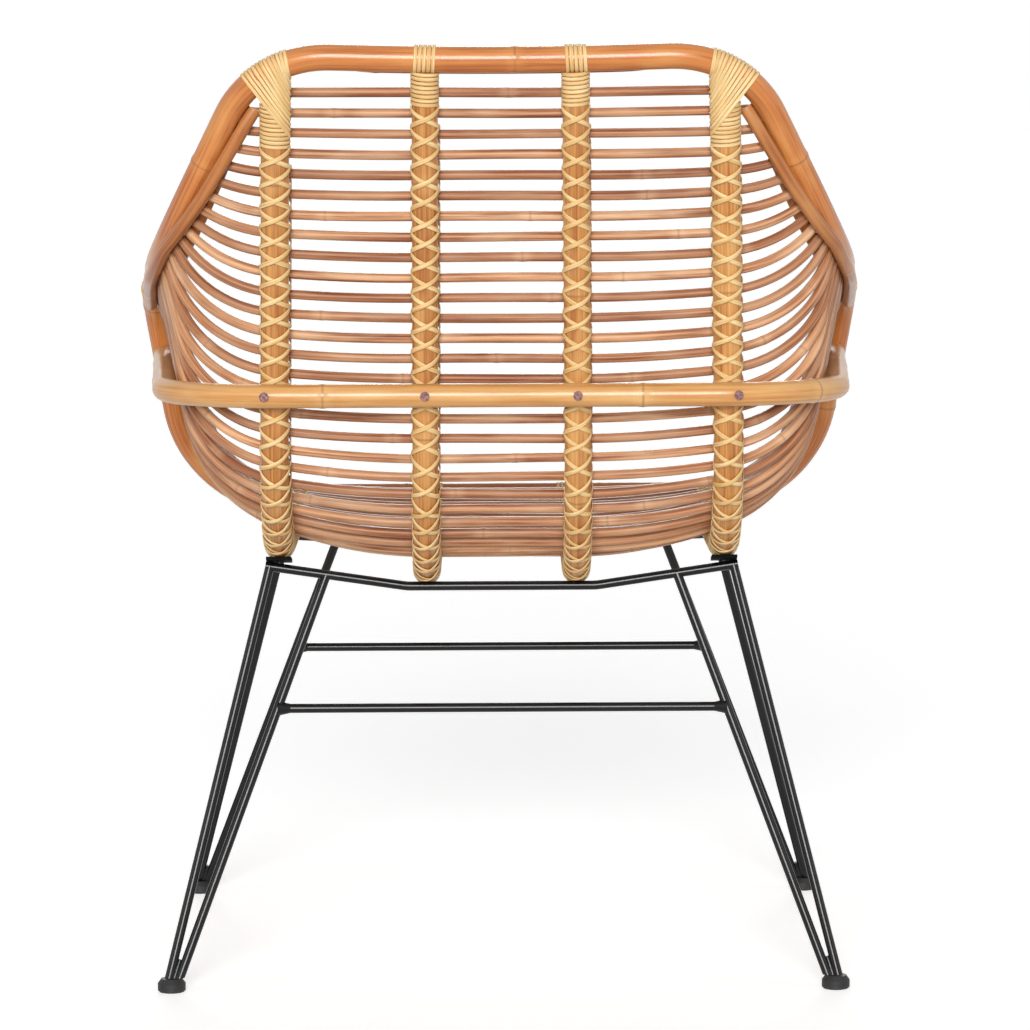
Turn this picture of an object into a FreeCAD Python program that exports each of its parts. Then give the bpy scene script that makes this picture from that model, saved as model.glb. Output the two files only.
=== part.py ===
import FreeCAD, Part
import math
import os

from FreeCAD import Vector

# Rattan bucket chair on a welded rod base. Millimetres, +Z up, the sitter faces +Y.
# The origin is on the floor, under the middle of the chair's outer box.

# Pole, stick and rod diameters
RAIL_D = 22.0
POLE_D = 11.5
HOOP_D = 20.5
STICK_D = 8.2
INNER_RIB_D = 22.0
OUTER_RIB_D = 24.0
ROD_D = 8.0
POLE_ROOM = 0.4

# Back and arm rail, right half: top middle, shoulder, elbow and the joint in the arm
RAIL_TOP = Vector(0, -312, 793.5)
RAIL_SHOULDER = Vector(200, -312, 799)
RAIL_ELBOW = Vector(286, -228, 634)
ARM_JOINT = Vector(320, 162, 585)
TOP_BOW_R = 4000.0
SHOULDER_R = 92.0
ELBOW_R = 170.0

# Front rail: on from the arm joint, down the upright and across the seat front
ARM_FRONT_RUN = 84.0
FRONT_CORNER = Vector(295, 312, 366)
ARM_BEND_R = 60.0
FRONT_CORNER_R = 120.0
FRONT_POLE_AIM = Vector(0, 252, 560)

# Ribs: places across the chair at the top and from the heel on, then the side profile as top,
# heel and front points
INNER_RIB_TOP_X = 62.0
INNER_RIB_X = 65.0
OUTER_RIB_TOP_X = 185.0
OUTER_RIB_X = 193.0
HEEL_R = 150.0
INNER_PROFILE = (Vector(0, -305.7, 782), Vector(0, -219, 345.5), Vector(0, 312, 367))
OUTER_PROFILE = (Vector(0, -304.7, 782), Vector(0, -222, 374), Vector(0, 312, 371))
INNER_RIB_HEAD = 8.0

# Cross sticks: stations down the back and along the seat, and their ends on the rail
STICK_COUNT = 48
BACK_STICKS = 25
BACK_PITCH = 17.5
FIRST_STICK = 17.3
SEAT_FRONT_GAP = 20.0
STICK_CORNER_X = 257.0
FIRST_END = 222.0
LAST_END_BACK_FROM_JOINT = 32.0
REAR_SPREAD = 0.2
REAR_SPREAD_RATE = 5.0
FRONT_SPREAD = 0.04
FRONT_SPREAD_POWER = 6

# Hoop behind the ribs
HOOP_Z = 516.0
HOOP_CORNER_X = 281.5
HOOP_CORNER_R = 105.0

# Binding strands
LASHING_D = 1.8
BINDING_D = 2.2
BINDING_PITCH = 3.3
BINDING_ROOM = 0.1
SHOULDER_PITCH = 4.5
TOP_STRIP_PITCH = 5.0
ABOVE_HOOP = (0.5, 14)
BELOW_HOOP = (15.5, 10)
SHOULDER_BINDING_START = 168.0
SHOULDER_TURNS = 9
TOP_TURNS = 4
JOINT_TURNS = 9
HOOP_END_TURNS = 3
FRONT_TURNS = 4

# Rod base
BAR_Y = {"rear": -135.0, "front": 172.0}
BAR_HALF = 205.0
BAR_FLAT_HALF = 82.0
BAR_BEND_R = 40.0
INNER_LEG_X = 152.0
FOOT = {"rear": (285.0, -213.0), "front": (289.0, 257.0)}
STRETCHER_Z = {"rear": 237.0, "front": 244.0}
WELD_HEIGHT = 25.0
WELD_BEAD_R = 6.5
WELD_BEAD_LENGTH = 11.0
SIDE_BAR_DROP = 3.0
GLIDE_D = 24.0
GLIDE_H = 11.5
GLIDE_BEVEL = 1.5
GLIDE_SHOULDER_H = 7.5
GLIDE_TOP_D = 18.0
PLATE_LENGTH = 22.0
PLATE_WIDTH = 24.0
PLATE_T = 3.0
SCREW_D = 4.0
SCREW_HEAD_D = 7.5
SCREW_HEAD_H = 2.4
SCREW_DEPTH = 9.0
NAIL_D = 3.0
NAIL_HEAD_D = 8.0
NAIL_HEAD_H = 1.6
OUTER_NAIL_OUTWARD = 7.5

X_AXIS = Vector(1, 0, 0)
Y_AXIS = Vector(0, 1, 0)
Z_AXIS = Vector(0, 0, 1)


# Paths and tubes


def unit(vector):
    """The vector at length one."""
    return vector / vector.Length


def square_to(direction, along):
    """The unit part of a direction that is square to another."""
    return unit(direction - along * direction.dot(along))


def flipped(point):
    """The mirror image of a point across the chair's middle plane."""
    return Vector(-point.x, point.y, point.z)


def both_sides(right_half):
    """A symmetric point list from its right half, whose first point is on the middle plane."""
    return [flipped(p) for p in reversed(right_half[1:])] + list(right_half)


def mirrored(solid):
    """The mirror image of a solid across the chair's middle plane."""
    return solid.mirror(Vector(0, 0, 0), X_AXIS)


def bent_path(points, radii):
    """A wire of straight runs joined by tangent arcs, with one radius for each inner point."""
    edges = []
    start = points[0]
    for before, corner, after, radius in zip(points, points[1:], points[2:], radii):
        into = unit(corner - before)
        out = unit(after - corner)
        half_turn = 0.5 * math.acos(max(-1.0, min(1.0, into.dot(out))))
        setback = radius * math.tan(half_turn)
        arc_start = corner - into * setback
        arc_end = corner + out * setback
        arc_middle = corner + unit(out - into) * (radius / math.cos(half_turn) - radius)
        edges += straight_run(start, arc_start)
        edges.append(Part.Arc(arc_start, arc_middle, arc_end).toShape())
        start = arc_end
    return Part.Wire(edges + straight_run(start, points[-1]))


def straight_run(start, end):
    """The straight edge between two points, or none where two arcs meet."""
    if (end - start).Length < 1e-4:
        return []
    return [Part.LineSegment(start, end).toShape()]


def tangent_arc(start, knee, end):
    """The arc from start to end whose tangents meet at the knee."""
    middle = (start + end) / 2
    half_chord = (end - start).Length / 2
    leg = (knee - start).Length
    rise = half_chord * math.tan(0.5 * math.acos(min(1.0, half_chord / leg)))
    if rise < 1e-6:
        return Part.LineSegment(start, end).toShape()
    return Part.Arc(start, middle + unit(knee - middle) * rise, end).toShape()


def biarc(start, start_way, end, end_way):
    """Two tangent arcs from one point and direction to another."""
    span = end - start
    ways = start_way + end_way
    spread = 2 * (1 - start_way.dot(end_way))
    reach = span.dot(ways)
    if spread < 1e-9:
        leg = span.dot(span) / (2 * reach)
    else:
        leg = (math.sqrt(reach * reach + spread * span.dot(span)) - reach) / spread
    start_knee = start + start_way * leg
    end_knee = end - end_way * leg
    joint = (start_knee + end_knee) / 2
    return [tangent_arc(start, start_knee, joint), tangent_arc(joint, end_knee, end)]


def smooth_path(points):
    """A wire of biarcs through points, with directions from the circle through each three."""
    ways = []
    for before, point, after in zip(points, points[1:], points[2:]):
        into = point - before
        out = after - point
        ways.append(unit(into * (out.Length / into.Length) + out * (into.Length / out.Length)))
    first = unit(points[1] - points[0])
    last = unit(points[-1] - points[-2])
    ways.insert(0, unit(first * (2 * first.dot(ways[0])) - ways[0]))
    ways.append(unit(last * (2 * last.dot(ways[-1])) - ways[-1]))
    edges = []
    for k in range(len(points) - 1):
        edges += biarc(points[k], ways[k], points[k + 1], ways[k + 1])
    return Part.Wire(edges)


def tube(path, diameter):
    """A round bar along a path."""
    first = path.Edges[0]
    start = first.valueAt(first.FirstParameter)
    way = first.tangentAt(first.FirstParameter)
    shell = Part.BRepOffsetAPI.MakePipeShell(path)
    shell.add(Part.Wire(Part.Circle(start, way, diameter / 2).toShape()))
    shell.build()
    shell.makeSolid()
    return shell.shape()


def bar(start, end, diameter):
    """A straight round bar between two points."""
    return Part.makeCylinder(diameter / 2, (end - start).Length, start, end - start)


def station(path, length):
    """The point and direction at a length along a path."""
    edges = path.Edges
    place = 0
    while length > edges[place].Length and place < len(edges) - 1:
        length -= edges[place].Length
        place += 1
    edge = edges[place]
    at = edge.getParameterByLength(min(length, edge.Length))
    return edge.valueAt(at), edge.tangentAt(at)


# Windings


def round_loop(radius):
    """One turn round a circle: share of the turn, place and direction, a quarter turn apart."""
    turn = []
    for quarter in range(4):
        angle = quarter * math.pi / 2
        place = (radius * math.cos(angle), radius * math.sin(angle))
        turn.append((quarter / 4, place, (-math.sin(angle), math.cos(angle))))
    return turn, 2 * math.pi * radius


def belt_loop(big, small, apart):
    """One turn round two touching poles: the small one lies along the first axis."""
    lean = math.asin((big - small) / apart)
    run = apart * math.cos(lean)
    corner = math.pi / 2 - lean
    small_arc = 2 * small * corner
    big_arc = 2 * big * (math.pi - corner)
    length = small_arc + big_arc + 2 * run
    stops = [(0.0, apart, small, 0.0), (small_arc / 2, apart, small, corner)]
    stops.append((small_arc / 2 + run, 0.0, big, corner))
    stops.append((length / 2, 0.0, big, math.pi))
    stops.append((length - small_arc / 2 - run, 0.0, big, -corner))
    stops.append((length - small_arc / 2, apart, small, -corner))
    turn = []
    for travelled, centre, radius, angle in stops:
        place = (centre + radius * math.cos(angle), radius * math.sin(angle))
        turn.append((travelled / length, place, (-math.sin(angle), math.cos(angle))))
    return turn, length


def winding(name, axis, side_at, loop, advance, turns, diameter, hand=1):
    """One unbroken strand wound round an axis.

    side_at gives the loop's first axis at a length along the wire, advance gives that
    length at a number of turns, and hand is 1 or -1 for the way it turns.
    """
    turn, loop_length = loop
    points = []
    ways = []
    for whole in range(turns + 1):
        for share, place, way in turn if whole < turns else turn[:1]:
            along = advance(whole + share)
            pitch = (advance(whole + share + 0.05) - advance(whole + share - 0.05)) / 0.1
            centre, forward = station(axis, along)
            side = square_to(side_at(along), forward)
            up = forward.cross(side) * hand
            points.append(centre + side * place[0] + up * place[1])
            ways.append(unit((side * way[0] + up * way[1]) * loop_length + forward * pitch))
    tail = points[0] - ways[0] * diameter
    edges = [Part.LineSegment(tail, points[0]).toShape()]
    for k in range(len(points) - 1):
        edges += biarc(points[k], ways[k], points[k + 1], ways[k + 1])
    edges.append(Part.LineSegment(points[-1], points[-1] + ways[-1] * diameter).toShape())
    path = Part.Wire(edges)
    print(f"{name}: least gap to itself {least_gap(path, turns, diameter):.2f} mm")
    return tube(path, diameter)


def least_gap(path, turns, diameter):
    """The least clear distance between one turn of a strand and the next, on points."""
    per_turn = 24
    points = path.discretize(Number=turns * per_turn)
    least = math.inf
    for k in range(len(points)):
        for other in range(k + per_turn // 2, min(len(points), k + 2 * per_turn)):
            least = min(least, points[k].distanceToPoint(points[other]))
    return least - diameter


# Rib side profiles


class Rib:
    """A rib with a reclined back that leans in at the top, a round heel and a nearly level seat."""

    def __init__(self, top_x, x, diameter, profile):
        self.diameter = diameter
        top, heel, front = profile
        self.points = [Vector(top_x, top.y, top.z), Vector(x, heel.y, heel.z), Vector(x, front.y, front.z)]
        self.into_back = unit(self.points[1] - self.points[0])
        self.along_seat = unit(self.points[2] - self.points[1])
        self.back_normal = unit(X_AXIS.cross(self.into_back))
        self.seat_normal = X_AXIS.cross(self.along_seat)
        self.turn = math.acos(self.into_back.dot(self.along_seat))
        self.setback = HEEL_R * math.tan(self.turn / 2)
        self.lift = diameter / 2 + STICK_D / 2

    def path(self, offset=0.0):
        """The profile moved towards the sitter by an offset."""
        top, heel, front = self.points
        normals = self.back_normal + self.seat_normal
        shift = offset / (1 + self.back_normal.dot(self.seat_normal))
        moved = [top + self.back_normal * offset, heel + normals * shift]
        return bent_path(moved + [front + self.seat_normal * offset], [HEEL_R - offset])

    def stick_line(self):
        """The line of stick centres that rest on the rib."""
        return self.path(self.lift)

    def axis_length(self, stick_length):
        """The length along the rib's own axis beside a length along the stick line."""
        back = (self.points[1] - self.points[0]).Length - self.setback
        bend = (HEEL_R - self.lift) * self.turn
        past_back = min(max(stick_length - back, 0.0), bend)
        return stick_length + past_back * self.lift / (HEEL_R - self.lift)

    def x_at(self, z):
        """The rib's place across the chair at a height on its back."""
        top, heel, _ = self.points
        return top.x + (heel.x - top.x) * (top.z - z) / (top.z - heel.z)

    def heel_centre(self):
        """The middle of the heel's arc."""
        start = self.points[1] - self.into_back * self.setback
        return start + self.back_normal * HEEL_R

    def underside_rod(self, y, gap):
        """The height of a cross rod under the rib, a gap below the rib's surface."""
        reach = self.diameter / 2 + gap + ROD_D / 2
        centre = self.heel_centre()
        seat_start = self.points[1] + self.along_seat * self.setback
        if y < seat_start.y:
            return centre.z - math.sqrt((HEEL_R + reach) ** 2 - (y - centre.y) ** 2)
        rise = self.along_seat.z / self.along_seat.y
        return self.points[2].z + rise * (y - self.points[2].y) - reach / self.along_seat.y


INNER_RIB = Rib(INNER_RIB_TOP_X, INNER_RIB_X, INNER_RIB_D, INNER_PROFILE)
OUTER_RIB = Rib(OUTER_RIB_TOP_X, OUTER_RIB_X, OUTER_RIB_D, OUTER_PROFILE)
INNER_LINE = INNER_RIB.stick_line()
OUTER_LINE = OUTER_RIB.stick_line()


def stick_length(index, rib_line):
    """How far down a rib's stick line a stick lies. The index may fall between two sticks."""
    last_back = BACK_STICKS - 1
    back_end = FIRST_STICK + BACK_PITCH * last_back
    seat_pitch = (INNER_LINE.Length - SEAT_FRONT_GAP - back_end) / (STICK_COUNT - BACK_STICKS)
    length = FIRST_STICK + BACK_PITCH * min(index, last_back)
    length += seat_pitch * max(index - last_back, 0)
    return length * rib_line.Length / INNER_LINE.Length


# Rails, poles and hoop

RAIL_POINTS = [RAIL_TOP, RAIL_SHOULDER, RAIL_ELBOW, ARM_JOINT]
RAIL_RADII = [ELBOW_R, SHOULDER_R, TOP_BOW_R, SHOULDER_R, ELBOW_R]
RAIL_PATH = bent_path(both_sides(RAIL_POINTS), RAIL_RADII)
RAIL_HALF = RAIL_PATH.Length / 2
ARM_WAY = unit(ARM_JOINT - RAIL_ELBOW)
ARM_BEND = ARM_JOINT + ARM_WAY * ARM_FRONT_RUN
FRONT_POINTS = [ARM_JOINT, ARM_BEND, FRONT_CORNER]
FRONT_RADII = [ARM_BEND_R, FRONT_CORNER_R, FRONT_CORNER_R, ARM_BEND_R]
FRONT_PATH = bent_path([flipped(p) for p in FRONT_POINTS] + FRONT_POINTS[::-1], FRONT_RADII)
FRONT_HALF = FRONT_PATH.Length / 2
POLE_APART = RAIL_D / 2 + POLE_D / 2 + POLE_ROOM
POLE_SWING = math.asin((POLE_D + STICK_D) / 2 / POLE_APART)
TOP_POLE_WAY = Vector(0, 0.93, -0.37)


def end_length(index):
    """How far from the rail's middle a stick ends. The ends are closest along the arm."""
    share = index / (STICK_COUNT - 1)
    rear = (1 - math.exp(-REAR_SPREAD_RATE * share)) / (1 - math.exp(-REAR_SPREAD_RATE))
    front = share ** FRONT_SPREAD_POWER
    even = 1 - REAR_SPREAD - FRONT_SPREAD
    reach = RAIL_HALF - LAST_END_BACK_FROM_JOINT - FIRST_END
    return FIRST_END + reach * (even * share + REAR_SPREAD * rear + FRONT_SPREAD * front)


def right_rail(length):
    """The point and direction on the right half of the rail, measured from its middle."""
    return station(RAIL_PATH, RAIL_HALF + length)


def equal_legs(span, way):
    """How far along a way two equal tangents meet, for one arc across a span."""
    return span.dot(span) / (2 * span.dot(way))


def stick_points(index):
    """The right half of a stick: its bow, its place on the outer rib, its corner and its end.

    The stick is level between the inner ribs, then one arc as far as the outer rib and
    a tighter one up the side, and runs straight from there to the rail's axis.
    """
    on_inner, _ = station(INNER_LINE, stick_length(index, INNER_LINE))
    on_outer, forward = station(OUTER_LINE, stick_length(index, OUTER_LINE))
    end, _ = right_rail(end_length(index))
    level = unit(on_outer - on_inner - X_AXIS * equal_legs(on_outer - on_inner, X_AXIS))
    towards_sitter = forward.cross(X_AXIS) * -1
    on_outer += towards_sitter * (OUTER_RIB.lift * (1 / level.x - 1))
    bow = on_inner + X_AXIS * equal_legs(on_outer - on_inner, X_AXIS)
    way = unit(on_outer - bow)
    leg = min((STICK_CORNER_X - on_outer.x) / way.x, equal_legs(end - on_outer, way))
    return bow, on_outer, on_outer + way * leg, end


def radius_for(setback, into, out):
    """The radius of the arc between two ways whose tangents have a given length."""
    return setback / math.tan(0.5 * math.acos(into.dot(out)))


def stick_path(index):
    """A stick's axis from the rail's axis on one arm to that on the other."""
    bow, on_outer, corner, end = stick_points(index)
    way = unit(corner - bow)
    bow_radius = radius_for((on_outer - bow).Length, X_AXIS, way)
    corner_radius = radius_for((corner - on_outer).Length, way, unit(end - corner))
    half = [bow, corner, end]
    points = [flipped(p) for p in reversed(half)] + half
    radii = [corner_radius, bow_radius, bow_radius, corner_radius]
    return bent_path(points, radii)


def pole_way(index, swing):
    """The direction from the rail to a pole that lies against the sticks' ends."""
    _, _, corner, end = stick_points(index)
    _, forward = right_rail(end_length(index))
    towards_stick = square_to(corner - end, forward)
    across = forward.cross(towards_stick)
    return towards_stick * math.cos(swing) + across * math.sin(swing)


POLE_STICKS = (0, 1, 2, 3, 4, 5, 6, 8, 10, 12, 15, 18, 22, 26, 30, 36, 42, 47)
OUTER_POLE_STICKS = (0.35,) + POLE_STICKS[1:]
POLE_ROUNDS = 6


def pole_points(sticks, swings, apart):
    """Points of a pole beside the arm rail, at some stick ends and at the arm binding."""
    points = []
    for index, swing in zip(sticks, swings):
        centre, _ = right_rail(end_length(index))
        points.append(centre + pole_way(index, swing) * apart)
    binding_edge = RAIL_HALF - JOINT_TURNS * BINDING_PITCH / 2 - BINDING_D
    centre, forward = right_rail(binding_edge)
    last = square_to(pole_way(sticks[-1], swings[-1]), forward)
    return points + [centre + last * apart]


def pole_swings(hand, sticks):
    """How far each point of an arm pole swings off its stick, so that it lies clear of it.

    The pole turns round the rail as it follows the sticks, so it crosses some of them
    at a slant and has to swing a little further there.
    """
    paths = [stick_path(index) for index in sticks]
    swings = [POLE_SWING * hand] * len(sticks)
    for _ in range(POLE_ROUNDS):
        points = pole_points(sticks, swings, POLE_APART)
        for k, path in enumerate(paths):
            reach = unit(points[k + 1] - points[max(k - 1, 0)]) * POLE_D
            run = Part.LineSegment(points[k] - reach, points[k] + reach).toShape()
            short = (POLE_D + STICK_D) / 2 - run.distToShape(path)[0]
            swings[k] += hand * max(short, 0.0) / POLE_APART
    return swings


INNER_SWINGS = pole_swings(1, POLE_STICKS)
OUTER_SWINGS = pole_swings(-1, OUTER_POLE_STICKS)


def inner_pole_side(length):
    """The direction from the rail to the inner pole near the top, at a length along the rail."""
    from_middle = abs(length - RAIL_HALF)
    first = end_length(POLE_STICKS[0])
    top_end = RAIL_SHOULDER.x - SHOULDER_R
    share = min(max((from_middle - top_end) / (first - top_end), 0.0), 1.0)
    shoulder = pole_way(POLE_STICKS[0], INNER_SWINGS[0])
    return unit(TOP_POLE_WAY * (1 - share) + shoulder * share)


def inner_pole(apart=POLE_APART):
    """The thin pole inside the mouth of the bucket, round both arms and the back."""
    half = []
    steps = 8
    for k in range(steps):
        length = end_length(POLE_STICKS[0]) * k / steps
        centre, forward = right_rail(length)
        side = square_to(inner_pole_side(RAIL_HALF + length), forward)
        half.append(centre + side * apart)
    return smooth_path(both_sides(half + pole_points(POLE_STICKS, INNER_SWINGS, apart)))


def front_side(point):
    """The direction from the front rail to its inner pole."""
    return FRONT_POLE_AIM - point


def front_pole(apart=POLE_APART):
    """The thin pole inside the front rail, down both uprights and over the seat front."""
    half = []
    upright_end = FRONT_HALF - ARM_FRONT_RUN - JOINT_TURNS * BINDING_PITCH / 2
    steps = 18
    for k in range(steps + 1):
        centre, forward = station(FRONT_PATH, FRONT_HALF - upright_end * k / steps)
        half.append(centre + square_to(front_side(centre), forward) * apart)
    return smooth_path(both_sides([flipped(p) for p in half]))


def hoop_path():
    """The hoop: level, behind all four ribs and forward to the two uprights."""
    fall = (INNER_RIB.points[0].z - HOOP_Z) / -INNER_RIB.into_back.z
    on_rib = INNER_RIB.points[0] + INNER_RIB.into_back * fall
    rear = on_rib.y - (INNER_RIB_D + HOOP_D) / 2 / -INNER_RIB.into_back.z
    share = (ARM_BEND.z - HOOP_Z) / (ARM_BEND.z - FRONT_CORNER.z)
    upright = ARM_BEND + (FRONT_CORNER - ARM_BEND) * share
    corner = Vector(HOOP_CORNER_X, rear, HOOP_Z)
    points = [flipped(upright), flipped(corner), corner, upright]
    return bent_path(points, [HOOP_CORNER_R, HOOP_CORNER_R])


# Pieces


def make_stick(index, rail):
    """A bent stick with its ends coped to the rail."""
    return largest(tube(stick_path(index), STICK_D).cut(rail))


def make_ribs():
    """The right inner and outer ribs, fitted under the top bindings and behind the front rail.

    Their ends are coped to the strands wound round each rail and its pole. Where a strand
    crosses from rail to pole, a tube midway stands for it.
    """
    sleeve = 2 * (BINDING_D + 2 * BINDING_ROOM)
    between_d = (RAIL_D + POLE_D) / 2 + sleeve
    fat_rail = tube(RAIL_PATH, RAIL_D + sleeve)
    fat_pole = tube(inner_pole(), POLE_D + sleeve)
    between = tube(inner_pole(POLE_APART / 2), between_d)
    fat_front = tube(FRONT_PATH, RAIL_D + sleeve)
    fat_front_pole = tube(front_pole(), POLE_D + sleeve)
    front_between = tube(front_pole(POLE_APART / 2), between_d)
    sleeves = [fat_rail, fat_pole, between, fat_front, fat_front_pole, front_between]
    top = INNER_RIB.points[0]
    head = bar(top, top - INNER_RIB.into_back * INNER_RIB_HEAD, INNER_RIB_D)
    inner = tube(INNER_RIB.path(), INNER_RIB_D).fuse(head).removeSplitter()
    outer = tube(OUTER_RIB.path(), OUTER_RIB_D)
    return largest(inner.cut(sleeves)), largest(outer.cut(sleeves))


def largest(shape):
    """The largest solid of a shape, which drops offcuts beyond a coped end."""
    return max(shape.Solids, key=lambda solid: solid.Volume)


def rib_lashings(rib, sign):
    """Two strands of opposite hand wound round a rib, above and below the hoop."""
    line = rib.stick_line()
    axis = rib.path()
    strands = []
    for start, turns in (ABOVE_HOOP, BELOW_HOOP):
        for hand, layer in ((1, 0.5), (-1, 1.5)):
            radius = rib.diameter / 2 + layer * LASHING_D

            def advance(turn, start=start):
                return rib.axis_length(stick_length(start + turn, line))

            strand = winding("rib lashing", axis, facing_sitter(axis), round_loop(radius),
                             advance, turns, LASHING_D, hand)
            strands.append(strand if sign > 0 else mirrored(strand))
    return Part.makeCompound(strands)


def facing_sitter(axis):
    """A function that gives the direction from a rib towards the sitter, at a length along it."""
    def front(length):
        _, forward = station(axis, length)
        return forward.cross(X_AXIS) * -1
    return front


def steady(start, pitch):
    """An even advance along an axis."""
    return lambda turn: start + pitch * turn


def make_bindings():
    """The close bindings at the shoulders, top, arm joints, hoop ends and seat front."""
    strand = BINDING_D / 2 + BINDING_ROOM
    belt = belt_loop(RAIL_D / 2 + strand, POLE_D / 2 + strand, POLE_APART)
    sheath = round_loop(RAIL_D / 2 + strand)
    start = RAIL_HALF + SHOULDER_BINDING_START
    advance = steady(start, SHOULDER_PITCH)
    shoulder = winding("shoulder binding", RAIL_PATH, inner_pole_side, belt, advance,
                       SHOULDER_TURNS, BINDING_D)
    start = RAIL_HALF + INNER_RIB_TOP_X - TOP_TURNS * TOP_STRIP_PITCH / 2
    top = winding("top binding", RAIL_PATH, inner_pole_side, belt,
                  steady(start, TOP_STRIP_PITCH), TOP_TURNS, BINDING_D)
    lead = JOINT_TURNS * BINDING_PITCH
    arm_axis = Part.Wire(Part.LineSegment(ARM_JOINT - ARM_WAY * lead, ARM_BEND).toShape())
    start = lead / 2
    joint = winding("arm joint binding", arm_axis, lambda length: X_AXIS, sheath,
                    steady(start, BINDING_PITCH), JOINT_TURNS, BINDING_D)
    share = (ARM_BEND.z - HOOP_Z + HOOP_D / 2 + BINDING_D) / (ARM_BEND.z - FRONT_CORNER.z)
    upright = ARM_BEND + (FRONT_CORNER - ARM_BEND) * share
    upright_axis = Part.Wire(Part.LineSegment(upright, FRONT_CORNER).toShape())
    hoop_end = winding("hoop end binding", upright_axis, lambda length: front_side(upright),
                       belt, steady(BINDING_D, BINDING_PITCH), HOOP_END_TURNS, BINDING_D)
    fronts = []
    to_pole = front_side(Vector(0, FRONT_CORNER.y, FRONT_CORNER.z))
    for x in (INNER_RIB_X, OUTER_RIB_X - FRONT_TURNS * BINDING_PITCH / 2):
        start = FRONT_HALF + x - FRONT_TURNS * BINDING_PITCH / 2
        fronts.append(winding("seat front binding", FRONT_PATH, lambda length: to_pole, belt,
                              steady(start, BINDING_PITCH), FRONT_TURNS, BINDING_D))
    return shoulder, top, joint, hoop_end, fronts


def bar_path(y, flat_z, end_z):
    """A seat crossbar: level in the middle and raised to its ends."""
    points = [Vector(-BAR_HALF, y, end_z), Vector(-BAR_FLAT_HALF, y, flat_z)]
    points += [flipped(p) for p in reversed(points)]
    return bent_path(points, [BAR_BEND_R, BAR_BEND_R])


def make_leg(foot, bar_y, end_z, inner_z, crossbar, side_bar):
    """A right leg: two rods from the crossbar that meet and are welded at the foot."""
    x, y = foot
    low = GLIDE_H - ROD_D
    outer_foot = Vector(x + ROD_D / 2, y, low)
    inner_foot = Vector(x - ROD_D / 2, y, low)
    outer = bar(Vector(BAR_HALF - ROD_D / 2, bar_y, end_z), outer_foot, ROD_D)
    inner = bar(Vector(INNER_LEG_X, bar_y, inner_z), inner_foot, ROD_D)
    rods_top = Vector((BAR_HALF - ROD_D / 2 + INNER_LEG_X) / 2, bar_y, (end_z + inner_z) / 2)
    weld_foot = Vector(x, y, low)
    weld = Part.makeCone(ROD_D / 2, ROD_D / 4, WELD_HEIGHT, weld_foot, rods_top - weld_foot)
    wide = 4 * GLIDE_D
    below = Part.makeBox(wide, wide, wide, Vector(x - wide / 2, y - wide / 2, GLIDE_H - wide))
    return outer.fuse([inner, weld]).removeSplitter().cut([below, crossbar, side_bar])


def make_glide(foot):
    """A turned floor glide with a bevelled rim and a sloped shoulder."""
    r = GLIDE_D / 2
    outline = [Vector(0, 0, 0), Vector(r - GLIDE_BEVEL, 0, 0), Vector(r, 0, GLIDE_BEVEL)]
    outline += [Vector(r, 0, GLIDE_SHOULDER_H), Vector(GLIDE_TOP_D / 2, 0, GLIDE_H)]
    outline += [Vector(0, 0, GLIDE_H), Vector(0, 0, 0)]
    face = Part.Face(Part.makePolygon(outline))
    glide = face.revolve(Vector(0, 0, 0), Z_AXIS, 360)
    glide.translate(Vector(foot[0], foot[1], 0))
    return glide


def make_plate(bar_y, end_z):
    """A mounting plate between a crossbar end and an outer rib, with its screw."""
    centre = OUTER_RIB.heel_centre()
    seat_start = OUTER_RIB.points[1] + OUTER_RIB.along_seat * OUTER_RIB.setback
    rod = Vector(OUTER_RIB_X, bar_y, end_z)
    up = OUTER_RIB.seat_normal
    if bar_y < seat_start.y:
        up = unit(Vector(0, centre.y - rod.y, centre.z - rod.z))
    base = rod + up * (ROD_D / 2)
    forward = up.cross(X_AXIS)
    corner = Vector(-PLATE_LENGTH / 2, -PLATE_WIDTH / 2, 0)
    plate = Part.makeBox(PLATE_LENGTH, PLATE_WIDTH, PLATE_T, corner)
    plate.Placement = FreeCAD.Placement(base, FreeCAD.Rotation(X_AXIS, forward, up, "ZXY"))
    hole_at = base + forward * (PLATE_WIDTH - SCREW_HEAD_D) / 2
    shank = Part.makeCylinder(SCREW_D / 2, PLATE_T + SCREW_DEPTH, hole_at, up)
    head = Part.makeCylinder(SCREW_HEAD_D / 2, SCREW_HEAD_H, hole_at - up * SCREW_HEAD_H, up)
    return plate.cut(shank), head.fuse(shank).removeSplitter(), shank


def make_nail(rib, outward, hoop_rear_y):
    """A nail through the hoop into a rib, outward of the rib's middle, with a low round head."""
    rear = Vector(rib.x_at(HOOP_Z) + outward, hoop_rear_y, HOOP_Z)
    head_start = rear - Y_AXIS * (NAIL_HEAD_H / 2)
    head = Part.makeCylinder(NAIL_HEAD_D / 2, NAIL_HEAD_H, head_start, Y_AXIS)
    shank = Part.makeCylinder(NAIL_D / 2, HOOP_D + rib.diameter / 2, rear, Y_AXIS)
    return head.fuse(shank).removeSplitter()


# Assembly


def add_pair(parts, name, right):
    """Keep a right-hand piece and its mirror image as two nodes."""
    parts[name.format("right")] = right
    parts[name.format("left")] = mirrored(right)


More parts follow.
